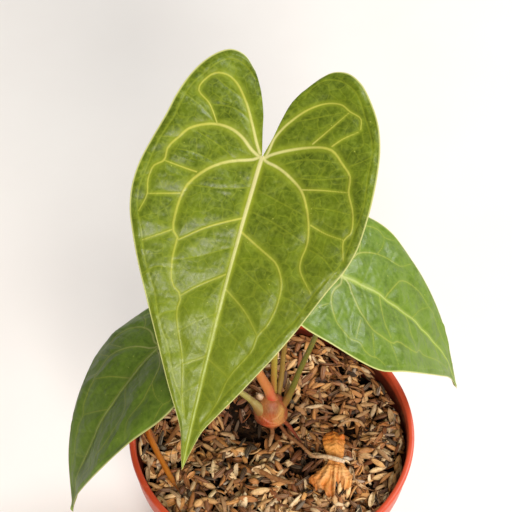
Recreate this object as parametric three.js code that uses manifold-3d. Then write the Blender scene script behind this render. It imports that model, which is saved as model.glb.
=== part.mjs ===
// Potted anthurium: three heart-shaped, pale-veined leaves on slim petioles, rooted in a plastic nursery pot.
// Millimetres. +Z is up, the pot's underside centre is the origin, and the front leaf points to -Y.
import * as THREE from "three";
import { mergeVertices } from "three/addons/utils/BufferGeometryUtils.js";
import Module from "manifold-3d";

const wasm = await Module();
wasm.setup();

// ---------------------------------------------------------------- driving dimensions

// Pot: a thin moulded cup with a collar band and a rolled lip.
const POT_HEIGHT = 100;
const RIM_RADIUS = 59.5;
const BASE_RADIUS = 43;
const WALL = 1.6;
const COLLAR_HEIGHT = 14;
const COLLAR_STEP = 2.2;
const LIP_WIDTH = 2.6;
const LIP_HEIGHT = 2.4;
const FLOOR = 4;
const CHANNEL_DEPTH = 2;
const PAD_RADIUS = 14;
const FOOT_WIDTH = 6;
const DRAIN_HOLES = 8;
const DRAIN_HOLE_RADIUS = 3.2;
const FOOT_NOTCHES = 4;
const FOOT_NOTCH_WIDTH = 9;

// Potting mix: fills the cup up to a watering space below the rim.
const HEADSPACE = 10;
const MIX_WAVE = 0.6;

// Leaves: length is along the midrib, from the petiole to the tip.
const FRONT_LEAF_LENGTH = 121;
const RIGHT_LEAF_LENGTH = 93;
const LEFT_LEAF_LENGTH = 86;
const BLADE_THICKNESS = 0.8;

// Stems and roots.
const PETIOLE_RADIUS = 1.35;
const CROWN_RADIUS = 7.1;
const ROOT_RADIUS = 0.8;
const STICK_RADIUS = 1.3;

// Clearances.
const GAP = 0.3;
const REST_GAP = 0.5;

// Derived levels.
const GROUND = POT_HEIGHT - HEADSPACE;
const CROWN_X = -0.6;
const CROWN_Y = 12.4;

// ---------------------------------------------------------------- small helpers

const radians = THREE.MathUtils.degToRad;
const lerp = THREE.MathUtils.lerp;
const clamp = THREE.MathUtils.clamp;

// Collects vertices and triangles of one closed surface.
function meshBuilder() {
  const positions = [];
  const triangles = [];
  const add = (p) => positions.push(p.x, p.y, p.z) / 3 - 1;
  const tri = (a, b, c) => triangles.push(a, b, c);
  const quad = (a, b, c, d) => {
    tri(a, b, c);
    tri(a, c, d);
  };
  const finish = () => {
    const geometry = new THREE.BufferGeometry();
    geometry.setAttribute("position", new THREE.Float32BufferAttribute(positions, 3));
    geometry.setIndex(triangles);
    return geometry;
  };
  return { add, tri, quad, finish };
}

// A three.js geometry as a manifold-3d solid.
function solid(geometry) {
  const bare = geometry.clone();
  bare.deleteAttribute("normal");
  bare.deleteAttribute("uv");
  const merged = mergeVertices(bare, 1e-4);
  return new wasm.Manifold(
    new wasm.Mesh({
      numProp: 3,
      vertProperties: merged.attributes.position.array,
      triVerts: new Uint32Array(merged.index.array),
    }),
  );
}

// A manifold-3d solid as a three.js geometry.
function geometryOf(body) {
  const out = body.getMesh();
  const geometry = new THREE.BufferGeometry();
  geometry.setAttribute("position", new THREE.BufferAttribute(out.vertProperties, 3));
  geometry.setIndex(new THREE.BufferAttribute(out.triVerts, 1));
  return geometry;
}

// A value read from a list of evenly spaced stops.
function along(stops, t) {
  const x = clamp(t, 0, 1) * (stops.length - 1);
  const i = Math.min(Math.floor(x), stops.length - 2);
  return lerp(stops[i], stops[i + 1], x - i);
}

// A round, tapering stem through the given points, closed at both ends.
function limb(points, radii, sides = 10, rings = 18, flatten = 1) {
  const path = new THREE.CatmullRomCurve3(points.map((p) => new THREE.Vector3(...p)), false, "centripetal");
  const frames = path.computeFrenetFrames(rings, false);
  const b = meshBuilder();
  const loops = [];
  for (let i = 0; i <= rings; i++) {
    const centre = path.getPointAt(i / rings);
    const radius = along(radii, i / rings);
    const loop = [];
    for (let j = 0; j < sides; j++) {
      const angle = (2 * Math.PI * j) / sides;
      const p = centre.clone();
      p.addScaledVector(frames.normals[i], Math.cos(angle) * radius);
      p.addScaledVector(frames.binormals[i], Math.sin(angle) * radius * flatten);
      loop.push(b.add(p));
    }
    loops.push(loop);
  }
  const first = b.add(path.getPointAt(0));
  const last = b.add(path.getPointAt(1));
  for (let j = 0; j < sides; j++) {
    const k = (j + 1) % sides;
    for (let i = 0; i < rings; i++) b.quad(loops[i][j], loops[i][k], loops[i + 1][k], loops[i + 1][j]);
    b.tri(first, loops[0][k], loops[0][j]);
    b.tri(last, loops[rings][j], loops[rings][k]);
  }
  return b.finish();
}

// ---------------------------------------------------------------- pot

function outerRadius(z) {
  const bodyTop = RIM_RADIUS - COLLAR_STEP - 1.6;
  return lerp(BASE_RADIUS, bodyTop, z / (POT_HEIGHT - COLLAR_HEIGHT));
}

function innerRadius(z) {
  const step = POT_HEIGHT - COLLAR_HEIGHT + WALL;
  return z < step ? outerRadius(z) - WALL : RIM_RADIUS - LIP_WIDTH;
}

function potGeometry() {
  const collar = POT_HEIGHT - COLLAR_HEIGHT;
  const foot = BASE_RADIUS - FOOT_WIDTH;
  const lipIn = RIM_RADIUS - LIP_WIDTH;
  const lipBase = POT_HEIGHT - LIP_HEIGHT;
  const profile = [
    [0, 0],
    [PAD_RADIUS, 0],
    [PAD_RADIUS + 1, CHANNEL_DEPTH],
    [foot - 1, CHANNEL_DEPTH],
    [foot, 0],
    [BASE_RADIUS - 1, 0],
    [outerRadius(1), 1],
    [outerRadius(collar - 0.4), collar - 0.4],
    [outerRadius(collar) + COLLAR_STEP - 0.5, collar],
    [outerRadius(collar) + COLLAR_STEP, collar + 0.6],
    [RIM_RADIUS - 0.8, lipBase - 0.8],
    [RIM_RADIUS - 0.1, lipBase],
    [RIM_RADIUS, lipBase + 0.6],
    [RIM_RADIUS, POT_HEIGHT - 0.8],
    [RIM_RADIUS - 0.3, POT_HEIGHT - 0.2],
    [RIM_RADIUS - 0.9, POT_HEIGHT],
    [lipIn + 0.8, POT_HEIGHT],
    [lipIn + 0.2, POT_HEIGHT - 0.3],
    [lipIn, POT_HEIGHT - 0.9],
    [lipIn - 0.2, collar + WALL + 1],
    [outerRadius(collar) - WALL, collar + WALL - 1],
    [outerRadius(FLOOR) - WALL, FLOOR],
    [0, FLOOR],
  ];
  const cup = new THREE.LatheGeometry(profile.map((p) => new THREE.Vector2(...p)), 72);
  cup.rotateX(Math.PI / 2);
  let body = solid(cup);
  const drill = wasm.Manifold.cylinder(FLOOR + 2, DRAIN_HOLE_RADIUS, DRAIN_HOLE_RADIUS, 20);
  const ringRadius = (PAD_RADIUS + foot) / 2;
  for (let i = 0; i < DRAIN_HOLES; i++) {
    const angle = (2 * Math.PI * i) / DRAIN_HOLES;
    const hole = drill.translate([ringRadius * Math.cos(angle), ringRadius * Math.sin(angle), -1]);
    body = body.subtract(hole);
  }
  const notch = wasm.Manifold.cube([FOOT_WIDTH + 6, FOOT_NOTCH_WIDTH, 2 * CHANNEL_DEPTH * 0.8], true);
  for (let i = 0; i < FOOT_NOTCHES; i++) {
    const turned = notch.translate([BASE_RADIUS - FOOT_WIDTH / 2, 0, 0]).rotate([0, 0, 45 + (360 * i) / FOOT_NOTCHES]);
    body = body.subtract(turned);
  }
  return geometryOf(body);
}

// ---------------------------------------------------------------- crown

// Radii and heights of the swollen stem base, from its buried end up.
const CROWN_PROFILE = [
  [-16, 0.2],
  [-12, 0.5],
  [-6, 0.66],
  [0, 0.84],
  [3.5, 1],
  [7, 1.02],
  [10, 0.9],
  [12.5, 0.66],
  [14.5, 0.36],
];

// The swollen base of overlapping leaf sheaths; grow swells it for cutting a seat.
function crownGeometry(grow) {
  const sides = 24;
  const b = meshBuilder();
  const loops = CROWN_PROFILE.map(([height, share]) => {
    const loop = [];
    for (let j = 0; j < sides; j++) {
      const angle = (2 * Math.PI * j) / sides;
      const lobes = 1 + 0.05 * Math.sin(3 * angle + 0.6) + 0.03 * Math.sin(5 * angle + height * 0.3);
      const radius = CROWN_RADIUS * share * lobes + grow;
      const x = CROWN_X + radius * Math.cos(angle);
      const y = CROWN_Y + radius * Math.sin(angle);
      loop.push(b.add(new THREE.Vector3(x, y, GROUND + height)));
    }
    return loop;
  });
  const count = loops.length;
  const bottomHeight = GROUND + CROWN_PROFILE[0][0] - 0.6 - grow;
  const topHeight = GROUND + CROWN_PROFILE[count - 1][0] + 0.8 + grow;
  const bottom = b.add(new THREE.Vector3(CROWN_X, CROWN_Y, bottomHeight));
  const top = b.add(new THREE.Vector3(CROWN_X, CROWN_Y, topHeight));
  for (let j = 0; j < sides; j++) {
    const k = (j + 1) % sides;
    for (let i = 0; i < count - 1; i++) b.quad(loops[i][j], loops[i][k], loops[i + 1][k], loops[i + 1][j]);
    b.tri(bottom, loops[0][k], loops[0][j]);
    b.tri(top, loops[count - 1][j], loops[count - 1][k]);
  }
  return b.finish();
}

const crownSeat = solid(crownGeometry(GAP));

// What the next stem or root has to stay clear of: the crown, then each stem already standing on it.
const standing = [crownSeat];

// A stem or root that grows out of the crown, trimmed to stop just clear of what stands there.
function fromCrown(points, radii, sides, rings, flatten = 1) {
  let body = solid(limb(points, radii, sides, rings, flatten));
  for (const other of standing) body = body.subtract(other);
  const pieces = body.decompose().sort((a, b) => b.volume() - a.volume());
  const grown = radii.map((radius) => radius + GAP);
  standing.push(solid(limb(points, grown, sides, rings, flatten)));
  return geometryOf(pieces[0]);
}

// ---------------------------------------------------------------- potting mix

// Height of the loose, slightly uneven surface.
function mixTop(x, y) {
  const wave = Math.sin(x * 0.11 + 1) * Math.cos(y * 0.13) + 0.6 * Math.sin(x * 0.05 - y * 0.19);
  const edge = Math.max(0, Math.hypot(x, y) / innerRadius(GROUND) - 0.75);
  return GROUND + MIX_WAVE * wave - 4 * edge - 0.6;
}

function mixGeometry() {
  const sides = 56;
  const rings = 7;
  const b = meshBuilder();
  const point = (radius, j, z) => {
    const angle = (2 * Math.PI * j) / sides;
    const x = radius * Math.cos(angle);
    const y = radius * Math.sin(angle);
    return b.add(new THREE.Vector3(x, y, z === null ? mixTop(x, y) : z));
  };
  const bottomZ = FLOOR + GAP;
  const step = POT_HEIGHT - COLLAR_HEIGHT;
  const loops = [];
  const levels = [bottomZ, bottomZ + 2, step * 0.5, step - 1];
  for (const z of levels) {
    const loop = [];
    for (let j = 0; j < sides; j++) loop.push(point(innerRadius(z) - GAP - 0.15, j, z));
    loops.push(loop);
  }
  for (let i = rings; i >= 1; i--) {
    const loop = [];
    const topRadius = innerRadius(step - 1) - GAP - 0.15;
    for (let j = 0; j < sides; j++) loop.push(point((topRadius * i) / rings, j, null));
    loops.push(loop);
  }
  const bottom = b.add(new THREE.Vector3(0, 0, bottomZ));
  const top = b.add(new THREE.Vector3(0, 0, mixTop(0, 0)));
  const last = loops.length - 1;
  for (let j = 0; j < sides; j++) {
    const k = (j + 1) % sides;
    for (let i = 0; i < last; i++) b.quad(loops[i][j], loops[i][k], loops[i + 1][k], loops[i + 1][j]);
    b.tri(bottom, loops[0][k], loops[0][j]);
    b.tri(top, loops[last][j], loops[last][k]);
  }
  return geometryOf(solid(b.finish()).subtract(crownSeat));
}

// ---------------------------------------------------------------- leaf blades

// Half outlines as shares of the midrib length: along the midrib from the petiole, then out from it.
// The sinus edge runs from the petiole back between the lobes; the margin goes round the lobe to the tip.
const FRONT_OUTER = {
  sinus: [[0, 0], [-0.08, 0.022], [-0.136, 0.037], [-0.205, 0.067], [-0.26, 0.102]],
  margin: [
    [-0.26, 0.102], [-0.298, 0.149], [-0.302, 0.192], [-0.281, 0.226], [-0.239, 0.26], [-0.183, 0.288],
    [-0.108, 0.31], [-0.03, 0.323], [0.054, 0.342], [0.13, 0.356], [0.199, 0.357], [0.265, 0.344],
    [0.323, 0.32], [0.405, 0.28], [0.515, 0.22], [0.632, 0.157], [0.75, 0.096], [0.836, 0.049],
    [0.883, 0.028], [0.95, 0.013], [1, 0],
  ],
};
const FRONT_INNER = {
  sinus: [[0, 0], [-0.073, 0.015], [-0.124, 0.023], [-0.19, 0.037], [-0.255, 0.07]],
  margin: [
    [-0.255, 0.07], [-0.301, 0.103], [-0.329, 0.135], [-0.336, 0.18], [-0.312, 0.227], [-0.255, 0.277],
    [-0.19, 0.318], [-0.118, 0.345], [-0.045, 0.359], [0.039, 0.367], [0.113, 0.369], [0.211, 0.363],
    [0.29, 0.34], [0.348, 0.311], [0.416, 0.281], [0.49, 0.248], [0.586, 0.2], [0.632, 0.174],
    [0.725, 0.121], [0.807, 0.071], [0.868, 0.036], [0.931, 0.017], [1, 0],
  ],
};
const SIDE_HALF = {
  sinus: [[0, 0], [-0.08, 0.019], [-0.18, 0.047], [-0.26, 0.093]],
  margin: [
    [-0.26, 0.093], [-0.312, 0.165], [-0.275, 0.25], [-0.16, 0.322], [-0.02, 0.352], [0.12, 0.37],
    [0.25, 0.358], [0.4, 0.287], [0.55, 0.212], [0.7, 0.13], [0.82, 0.06], [0.9, 0.026], [1, 0],
  ],
};

// attach is where the petiole meets the blade, from the pot's axis and the mix surface.
// heading turns the midrib from -Y to +X; pitch is how steeply it falls; width scales each half;
// fold lifts the halves into a shallow V; curl rolls the margins down.
const FRONT_LEAF = {
  length: FRONT_LEAF_LENGTH,
  attach: [-4.2, 39.2, 133.9],
  heading: -18.4,
  pitch: [26, 50],
  roll: 8,
  fold: 9,
  width: [1, 1],
  curl: 0,
  halves: [FRONT_OUTER, FRONT_INNER],
};
const RIGHT_LEAF = {
  length: RIGHT_LEAF_LENGTH,
  attach: [26.9, 27.6, 77.3],
  heading: 86.6,
  pitch: [31.8, 77.2],
  roll: -5.5,
  fold: 7.1,
  width: [1.02, 0.985],
  curl: 0.1,
  halves: [SIDE_HALF, SIDE_HALF],
};
const LEFT_LEAF = {
  length: LEFT_LEAF_LENGTH,
  attach: [-44.1, 6.5, 59.3],
  heading: -41.7,
  pitch: [9.9, 83.9],
  roll: -32.5,
  fold: 21.1,
  width: [1.14, 1.17],
  curl: 0.32,
  halves: [SIDE_HALF, SIDE_HALF],
};

const MARGIN_STEPS = 22;
const BLADE_RINGS = 6;
const SINUS_REACH = 0.25;

// A flat outline point carried onto the folded, arching blade; side offset is along its normal.
function bladePoint(leaf, s, w, offset) {
  const heading = radians(leaf.heading);
  const ahead = new THREE.Vector3(Math.sin(heading), -Math.cos(heading), 0);
  const start = radians(leaf.pitch[0]);
  const bend = radians(leaf.pitch[1]) - start;
  const pitch = start + bend * s;
  const run = ((Math.sin(pitch) - Math.sin(start)) / bend) * leaf.length;
  const rise = ((Math.cos(pitch) - Math.cos(start)) / bend) * leaf.length;
  const across0 = new THREE.Vector3(ahead.y, -ahead.x, 0);
  const up0 = ahead.clone().multiplyScalar(Math.sin(pitch)).add(new THREE.Vector3(0, 0, Math.cos(pitch)));
  const roll = radians(leaf.roll);
  const across = across0.clone().multiplyScalar(Math.cos(roll)).addScaledVector(up0, Math.sin(roll));
  const up = up0.clone().multiplyScalar(Math.cos(roll)).addScaledVector(across0, -Math.sin(roll));
  const out = w * leaf.length * leaf.width[w > 0 ? 0 : 1];
  const fold = radians(leaf.fold);
  const lift = Math.abs(out) * Math.sin(fold) - (leaf.curl * out * out) / (0.37 * leaf.length);
  const [x, y, z] = leaf.attach;
  const p = new THREE.Vector3(x, y, GROUND + z);
  p.addScaledVector(ahead, run);
  p.z += rise;
  p.addScaledVector(across, out * Math.cos(fold));
  p.addScaledVector(up, lift + offset);
  return p;
}

// Points spaced evenly along a smooth curve through a half outline's stops.
function evenPoints(stops, count) {
  const path = new THREE.CatmullRomCurve3(stops.map(([s, w]) => new THREE.Vector3(s, w, 0)), false, "centripetal");
  return path.getSpacedPoints(count).map((p) => [p.x, p.y]);
}

// Rays of (s, w) from the petiole to the margin. The first follows the sinus edge and the last the midrib.
function halfRays(half, sign) {
  const margin = evenPoints(half.margin, MARGIN_STEPS);
  const sinus = evenPoints(half.sinus, BLADE_RINGS);
  return margin.map(([s, w], i) => {
    const fade = Math.max(0, 1 - i / MARGIN_STEPS / SINUS_REACH) ** 2;
    return sinus.map(([edgeS, edgeW], k) => {
      const t = k / BLADE_RINGS;
      const bendS = fade * (edgeS - t * margin[0][0]);
      const bendW = fade * (edgeW - t * margin[0][1]);
      return [t * s + bendS, sign * (t * w + bendW)];
    });
  });
}

function bladeGeometry(leaf) {
  const [outer, inner] = leaf.halves;
  const rays = [...halfRays(outer, 1), ...halfRays(inner, -1).reverse().slice(1)];
  const b = meshBuilder();
  const half = BLADE_THICKNESS / 2;
  const layer = (offset) => {
    const hub = b.add(bladePoint(leaf, 0, 0, offset));
    return rays.map((ray) => ray.map(([s, w], k) => (k === 0 ? hub : b.add(bladePoint(leaf, s, w, offset)))));
  };
  const top = layer(half);
  const bottom = layer(-half);
  const last = rays.length - 1;
  for (let i = 0; i < last; i++) {
    b.tri(top[i][0], top[i + 1][1], top[i][1]);
    b.tri(bottom[i][0], bottom[i][1], bottom[i + 1][1]);
    for (let k = 1; k < BLADE_RINGS; k++) {
      b.quad(top[i][k], top[i + 1][k], top[i + 1][k + 1], top[i][k + 1]);
      b.quad(bottom[i][k], bottom[i][k + 1], bottom[i + 1][k + 1], bottom[i + 1][k]);
    }
    b.quad(top[i][BLADE_RINGS], top[i + 1][BLADE_RINGS], bottom[i + 1][BLADE_RINGS], bottom[i][BLADE_RINGS]);
  }
  for (let k = 0; k < BLADE_RINGS; k++) {
    b.quad(top[0][k], top[0][k + 1], bottom[0][k + 1], bottom[0][k]);
    b.quad(top[last][k + 1], top[last][k], bottom[last][k], bottom[last][k + 1]);
  }
  const geometry = b.finish();
  return solid(geometry).volume() < 0 ? flipped(geometry) : geometry;
}

function flipped(geometry) {
  const index = Array.from(geometry.index.array);
  for (let i = 0; i < index.length; i += 3) [index[i + 1], index[i + 2]] = [index[i + 2], index[i + 1]];
  geometry.setIndex(index);
  return geometry;
}

// ---------------------------------------------------------------- stems

// Where a petiole ends: just under its blade, coming in close to square.
function petioleEnd(leaf) {
  const under = BLADE_THICKNESS / 2 + GAP + 0.5;
  const top = bladePoint(leaf, 0.012, 0, -under);
  const below = bladePoint(leaf, 0.012, 0, -under - 7);
  return [below.toArray(), top.toArray()];
}

// Points given from the pot's axis and the mix surface.
function above(points) {
  return points.map(([x, y, z]) => [x, y, GROUND + z]);
}

function petioleGeometry(leaf, points, baseSwell) {
  const radii = [baseSwell, 1.2, 1, 0.95, 0.92, 0.92, 0.95, 1.15, 1.2].map((k) => k * PETIOLE_RADIUS);
  return fromCrown([...above(points), ...petioleEnd(leaf)], radii, 12, 24);
}

const frontPetiolePoints = [
  [CROWN_X + 0.6, CROWN_Y + 3, 11],
  [0.7, 18.4, 16.5],
  [1, 21.3, 28],
  [3.4, 27, 62],
  [2.4, 33, 98],
];
const rightPetiolePoints = [
  [CROWN_X + 4.2, CROWN_Y - 0.8, 8.4],
  [6.4, 12.6, 12.6],
  [11.6, 16.8, 28],
  [17.2, 20.9, 44],
  [22.6, 25.3, 60],
];
const leftPetiolePoints = [
  [CROWN_X - 3.2, CROWN_Y - 4.4, 8.6],
  [-6.8, 10.2, 13],
  [-13.2, 11.6, 20],
  [-27, 10.6, 35],
];

// The rolled new shoot in its papery sheath.
function sheathGeometry() {
  const points = above([
    [CROWN_X + 1.2, CROWN_Y + 0.4, 9],
    [0.2, 13, 14.5],
    [-5.2, 15.6, 27.5],
    [-9.4, 18.6, 40],
    [-11.6, 21.6, 50],
  ]);
  return fromCrown(points, [2.5, 2.5, 2.2, 1.9, 1.4, 0.5], 14, 20, 0.8);
}

// The trimmed stem of an old leaf.
function oldPetioleGeometry() {
  const points = above([
    [CROWN_X + 3, CROWN_Y + 4, 9.6],
    [4, 20.4, 16],
    [5, 25.2, 28],
    [5.9, 27.6, 38],
  ]);
  return fromCrown(points, [1.9, 1.5, 1.4, 1.35, 1.3], 10, 12);
}

// A small dry scale leaf standing beside the right petiole.
function bractGeometry() {
  const points = above([
    [6.2, 15.2, 6],
    [6.8, 17.6, 10],
    [7.2, 19, 14.2],
    [7, 19.8, 17.6],
  ]);
  return fromCrown(points, [1.2, 1.5, 1.2, 0.4], 10, 8, 0.45);
}

function sideBudGeometry() {
  const points = above([
    [CROWN_X - 2.2, CROWN_Y + 1.4, 9.4],
    [-4.6, 13.8, 12.6],
    [-5.4, 13.6, 14.8],
  ]);
  return fromCrown(points, [1.6, 1.7, 1.6, 0.9], 10, 8);
}

// ---------------------------------------------------------------- roots and litter on the mix

// Points given from the pot's axis, with the height above the mix under them.
function overMix(points, radius) {
  return points.map(([x, y, lift]) => [x, y, mixTop(x, y) + radius + REST_GAP + lift]);
}

function rootGeometry(points, radii) {
  const thickest = Math.max(...radii) * ROOT_RADIUS;
  const scaled = radii.map((k) => k * ROOT_RADIUS);
  return fromCrown(overMix(points, thickest), scaled, 8, 16);
}

const ROOTS = {
  root_long: [[[3.4, 8.2, 2.2], [5.6, 3.6, 0.6], [12, -2.8, 0.4], [17.6, -8.4, 0.9], [22.5, -10, 3.2], [29.6, -12, 3]],
    [0.9, 0.9, 0.85, 0.9, 1.1, 1.25]],
  root_red: [[[4.4, 9.6, 3.6], [8.4, 4.6, 1.4], [11.6, -0.2, 0.2], [13.4, -4.2, 0]], [1.1, 1, 0.8, 0.5]],
  root_stub: [[[0, 7.8, 2], [0.3, 2.6, 0.3], [-0.4, -0.6, 0], [-0.8, -3, 0]], [1.3, 1.3, 1.2, 0.8]],
  root_arch: [[[28.6, 7.4, 0], [30.8, 8.6, 1], [34, 9.2, 2.2], [37.4, 8.7, 1.4], [39.4, 7.2, 0]], [0.8, 0.85, 0.85, 0.7]],
};

// Litter near the wall keeps its place as a share of the mix's radius.
function spread(points) {
  const share = innerRadius(GROUND - 5) / 55;
  return points.map(([x, y, lift]) => [x * share, y * share, lift]);
}

function stickGeometry() {
  const points = overMix(spread([[-53.4, 6, 0.5], [-52.4, 1.8, 0.6], [-41.4, -21, 0.4], [-38.4, -26, 0]]), STICK_RADIUS);
  return limb(points, [1, 1, 0.95, 0.9, 0.85, 0.35].map((k) => k * STICK_RADIUS), 8, 14);
}

function dryStemGeometry() {
  const points = overMix(spread([[-36.6, 14.6, 0.2], [-38.8, 8.6, 0.8], [-42.4, 2.4, 0.6], [-44.6, -1.4, 0]]), 1.2);
  return limb(points, [1.1, 1.2, 1.15, 0.9], 8, 10, 0.7);
}

// Length stations of the fallen leaf: place along it, centre line, half width and height above the mix.
const DRY_LEAF_STATIONS = [
  [3.6, 26.2, 2.4, 1.2],
  [1.8, 26.2, 3.9, 1.8],
  [-1.6, 26.3, 4.5, 2.2],
  [-5.2, 26.4, 4.2, 1.8],
  [-8.6, 26.4, 3.5, 1],
  [-11, 26.3, 3.2, 0.7],
  [-14, 26.1, 4.8, 1],
  [-18, 25.4, 7.4, 1.4],
  [-22.4, 24.6, 8.8, 1.4],
  [-26, 24.4, 7.6, 1],
  [-28.6, 24.8, 5.2, 0.6],
];
const DRY_LEAF_THICKNESS = 0.8;

// A shrivelled, pleated leaf lying on the mix.
function dryLeafGeometry() {
  const across = 14;
  const b = meshBuilder();
  const layer = (offset) =>
    DRY_LEAF_STATIONS.map(([y, centre, halfWidth, lift], i) => {
      const row = [];
      for (let j = 0; j <= across; j++) {
        const v = (2 * j) / across - 1;
        const pleat = 0.45 * Math.sin(v * 7 + i * 0.7) * Math.min(1, halfWidth / 5);
        const arch = 0.5 * halfWidth * (1 - v * v) * 0.3;
        const x = centre + v * halfWidth;
        const back = y - (i > 7 ? 1.1 * Math.cos(v * 9) : 0);
        const z = mixTop(x, back) + REST_GAP + DRY_LEAF_THICKNESS + 0.3 + lift * 0.6 + arch * 0.6 + pleat;
        row.push(b.add(new THREE.Vector3(x, back, z + offset)));
      }
      return row;
    });
  const top = layer(DRY_LEAF_THICKNESS / 2);
  const bottom = layer(-DRY_LEAF_THICKNESS / 2);
  const rows = DRY_LEAF_STATIONS.length - 1;
  for (let i = 0; i < rows; i++) {
    for (let j = 0; j < across; j++) {
      b.quad(top[i][j], top[i + 1][j], top[i + 1][j + 1], top[i][j + 1]);
      b.quad(bottom[i][j], bottom[i][j + 1], bottom[i + 1][j + 1], bottom[i + 1][j]);
    }
    b.quad(top[i][0], bottom[i][0], bottom[i + 1][0], top[i + 1][0]);
    b.quad(top[i][across], top[i + 1][across], bottom[i + 1][across], bottom[i][across]);
  }
  for (let j = 0; j < across; j++) {
    b.quad(top[0][j], top[0][j + 1], bottom[0][j + 1], bottom[0][j]);
    b.quad(top[rows][j], bottom[rows][j], bottom[rows][j + 1], top[rows][j + 1]);
  }
  return b.finish();
}

// ---------------------------------------------------------------- materials and assembly

const plastic = new THREE.MeshStandardMaterial({ color: 0xc9502f, roughness: 0.45, metalness: 0 });
const mix = new THREE.MeshStandardMaterial({ color: 0x4a3320, roughness: 1, metalness: 0 });
const blade = new THREE.MeshStandardMaterial({ color: 0x6f8a2c, roughness: 0.45, metalness: 0 });
const petiole = new THREE.MeshStandardMaterial({ color: 0x9aa043, roughness: 0.5, metalness: 0 });
const crownSkin = new THREE.MeshStandardMaterial({ color: 0xb5603a, roughness: 0.6, metalness: 0 });
const sheathSkin = new THREE.MeshStandardMaterial({ color: 0xd07a42, roughness: 0.55, metalness: 0 });
const rootSkin = new THREE.MeshStandardMaterial({ color: 0xa56f45, roughness: 0.85, metalness: 0 });
const dryTissue = new THREE.MeshStandardMaterial({ color: 0xd28a40, roughness: 0.8, metalness: 0 });

const group = new THREE.Group();
group.name = "potted_anthurium";

function place(name, geometry, material) {
  const mesh = new THREE.Mesh(geometry, material);
  mesh.name = name;
  group.add(mesh);
}

place("pot", potGeometry(), plastic);
place("potting_mix", mixGeometry(), mix);
place("crown", crownGeometry(0), crownSkin);
place("shoot_sheath", sheathGeometry(), sheathSkin);
place("petiole_right", petioleGeometry(RIGHT_LEAF, rightPetiolePoints, 1.6), petiole);
place("petiole_left", petioleGeometry(LEFT_LEAF, leftPetiolePoints, 2.2), petiole);
place("petiole_front", petioleGeometry(FRONT_LEAF, frontPetiolePoints, 1.5), petiole);
place("side_bud", sideBudGeometry(), sheathSkin);
place("old_petiole", oldPetioleGeometry(), dryTissue);
place("bract", bractGeometry(), dryTissue);
place("leaf_front", bladeGeometry(FRONT_LEAF), blade);
place("leaf_right", bladeGeometry(RIGHT_LEAF), blade);
place("leaf_left", bladeGeometry(LEFT_LEAF), blade);
for (const [name, [points, radii]] of Object.entries(ROOTS)) place(name, rootGeometry(points, radii), rootSkin);
place("dry_leaf", dryLeafGeometry(), dryTissue);
place("dry_stick", stickGeometry(), dryTissue);
place("dry_stem", dryStemGeometry(), dryTissue);

export default group;
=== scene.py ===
# %% [markdown]
# # A potted anthurium in Blender
#
# The CAD part is the fixed frame: it says where the pot, the stems and the three blades are. This script puts a
# finely modelled plant in the same places and gives each piece a finish that follows the real one.
#
# The real thing is a young anthurium in a 12 cm nursery pot. Its blades are thin, so light goes through them; its
# pale veins stand in shallow valleys; and it grows in rice hulls, which lie about like tiny boats.

import math

import bmesh
import bpy
import numpy as np
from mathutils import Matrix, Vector


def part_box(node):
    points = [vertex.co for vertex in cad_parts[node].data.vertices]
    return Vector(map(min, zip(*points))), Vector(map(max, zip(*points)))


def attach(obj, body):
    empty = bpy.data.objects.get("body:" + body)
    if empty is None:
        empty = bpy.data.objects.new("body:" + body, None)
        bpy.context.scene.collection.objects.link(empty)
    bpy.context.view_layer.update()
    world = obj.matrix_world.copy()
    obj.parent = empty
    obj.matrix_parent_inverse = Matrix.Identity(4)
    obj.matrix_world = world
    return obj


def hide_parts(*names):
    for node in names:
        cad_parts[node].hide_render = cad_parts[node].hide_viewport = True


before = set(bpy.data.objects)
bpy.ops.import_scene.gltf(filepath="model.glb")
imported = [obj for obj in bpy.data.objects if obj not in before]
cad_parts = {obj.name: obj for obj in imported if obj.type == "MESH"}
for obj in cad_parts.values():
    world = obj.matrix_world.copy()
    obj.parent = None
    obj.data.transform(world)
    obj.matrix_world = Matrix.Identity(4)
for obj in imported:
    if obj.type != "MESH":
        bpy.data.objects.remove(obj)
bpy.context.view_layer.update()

# %% [markdown]
# ## Working in millimetres
#
# Plants are easiest to think about in millimetres, while Blender works in metres. Every shape below is an array of
# points in millimetres, and one function turns arrays into a mesh object. Numbers that a material needs later,
# such as how close a point is to a vein, travel with the mesh as attributes.

# %% Mesh tools
MM = 0.001
UP = np.array([0.0, 0.0, 1.0])


def mesh_piece(name, points, faces, attributes=None, material=None):
    """An object from points in millimetres, faces and one number per point for each attribute."""
    mesh = bpy.data.meshes.new(name)
    faces = faces.tolist() if isinstance(faces, np.ndarray) else faces
    mesh.from_pydata((np.asarray(points) * MM).tolist(), [], faces)
    mesh.shade_smooth()
    for label, values in (attributes or {}).items():
        layer = mesh.attributes.new(label, "FLOAT", "POINT")
        layer.data.foreach_set("value", np.asarray(values, np.float32))
    piece = bpy.data.objects.new(name, mesh)
    bpy.context.scene.collection.objects.link(piece)
    if material:
        mesh.materials.append(material)
    return piece


def store_colours(piece, label, colours):
    """Keeps one linear colour per point on a piece."""
    layer = piece.data.color_attributes.new(label, "FLOAT_COLOR", "POINT")
    layer.data.foreach_set("color", np.asarray(colours, np.float32).reshape(-1))


def belongs(piece, slot, *nodes):
    """Ties a piece to the frame: it rides on the part and stands for CAD nodes; slot is not used."""
    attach(piece, "root")
    if nodes:
        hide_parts(*nodes)
    print(f"{piece.name}: {len(piece.data.vertices)} points")
    return piece


def grid_faces(rows, columns, closed=False, start=0):
    """Quads of a grid of points stored row by row; closed joins the last column to the first."""
    i, j = np.meshgrid(np.arange(rows - 1), np.arange(columns if closed else columns - 1), indexing="ij")
    k = (j + 1) % columns
    quads = np.stack([i * columns + j, i * columns + k, (i + 1) * columns + k, (i + 1) * columns + j], -1)
    return quads.reshape(-1, 4) + start


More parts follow.
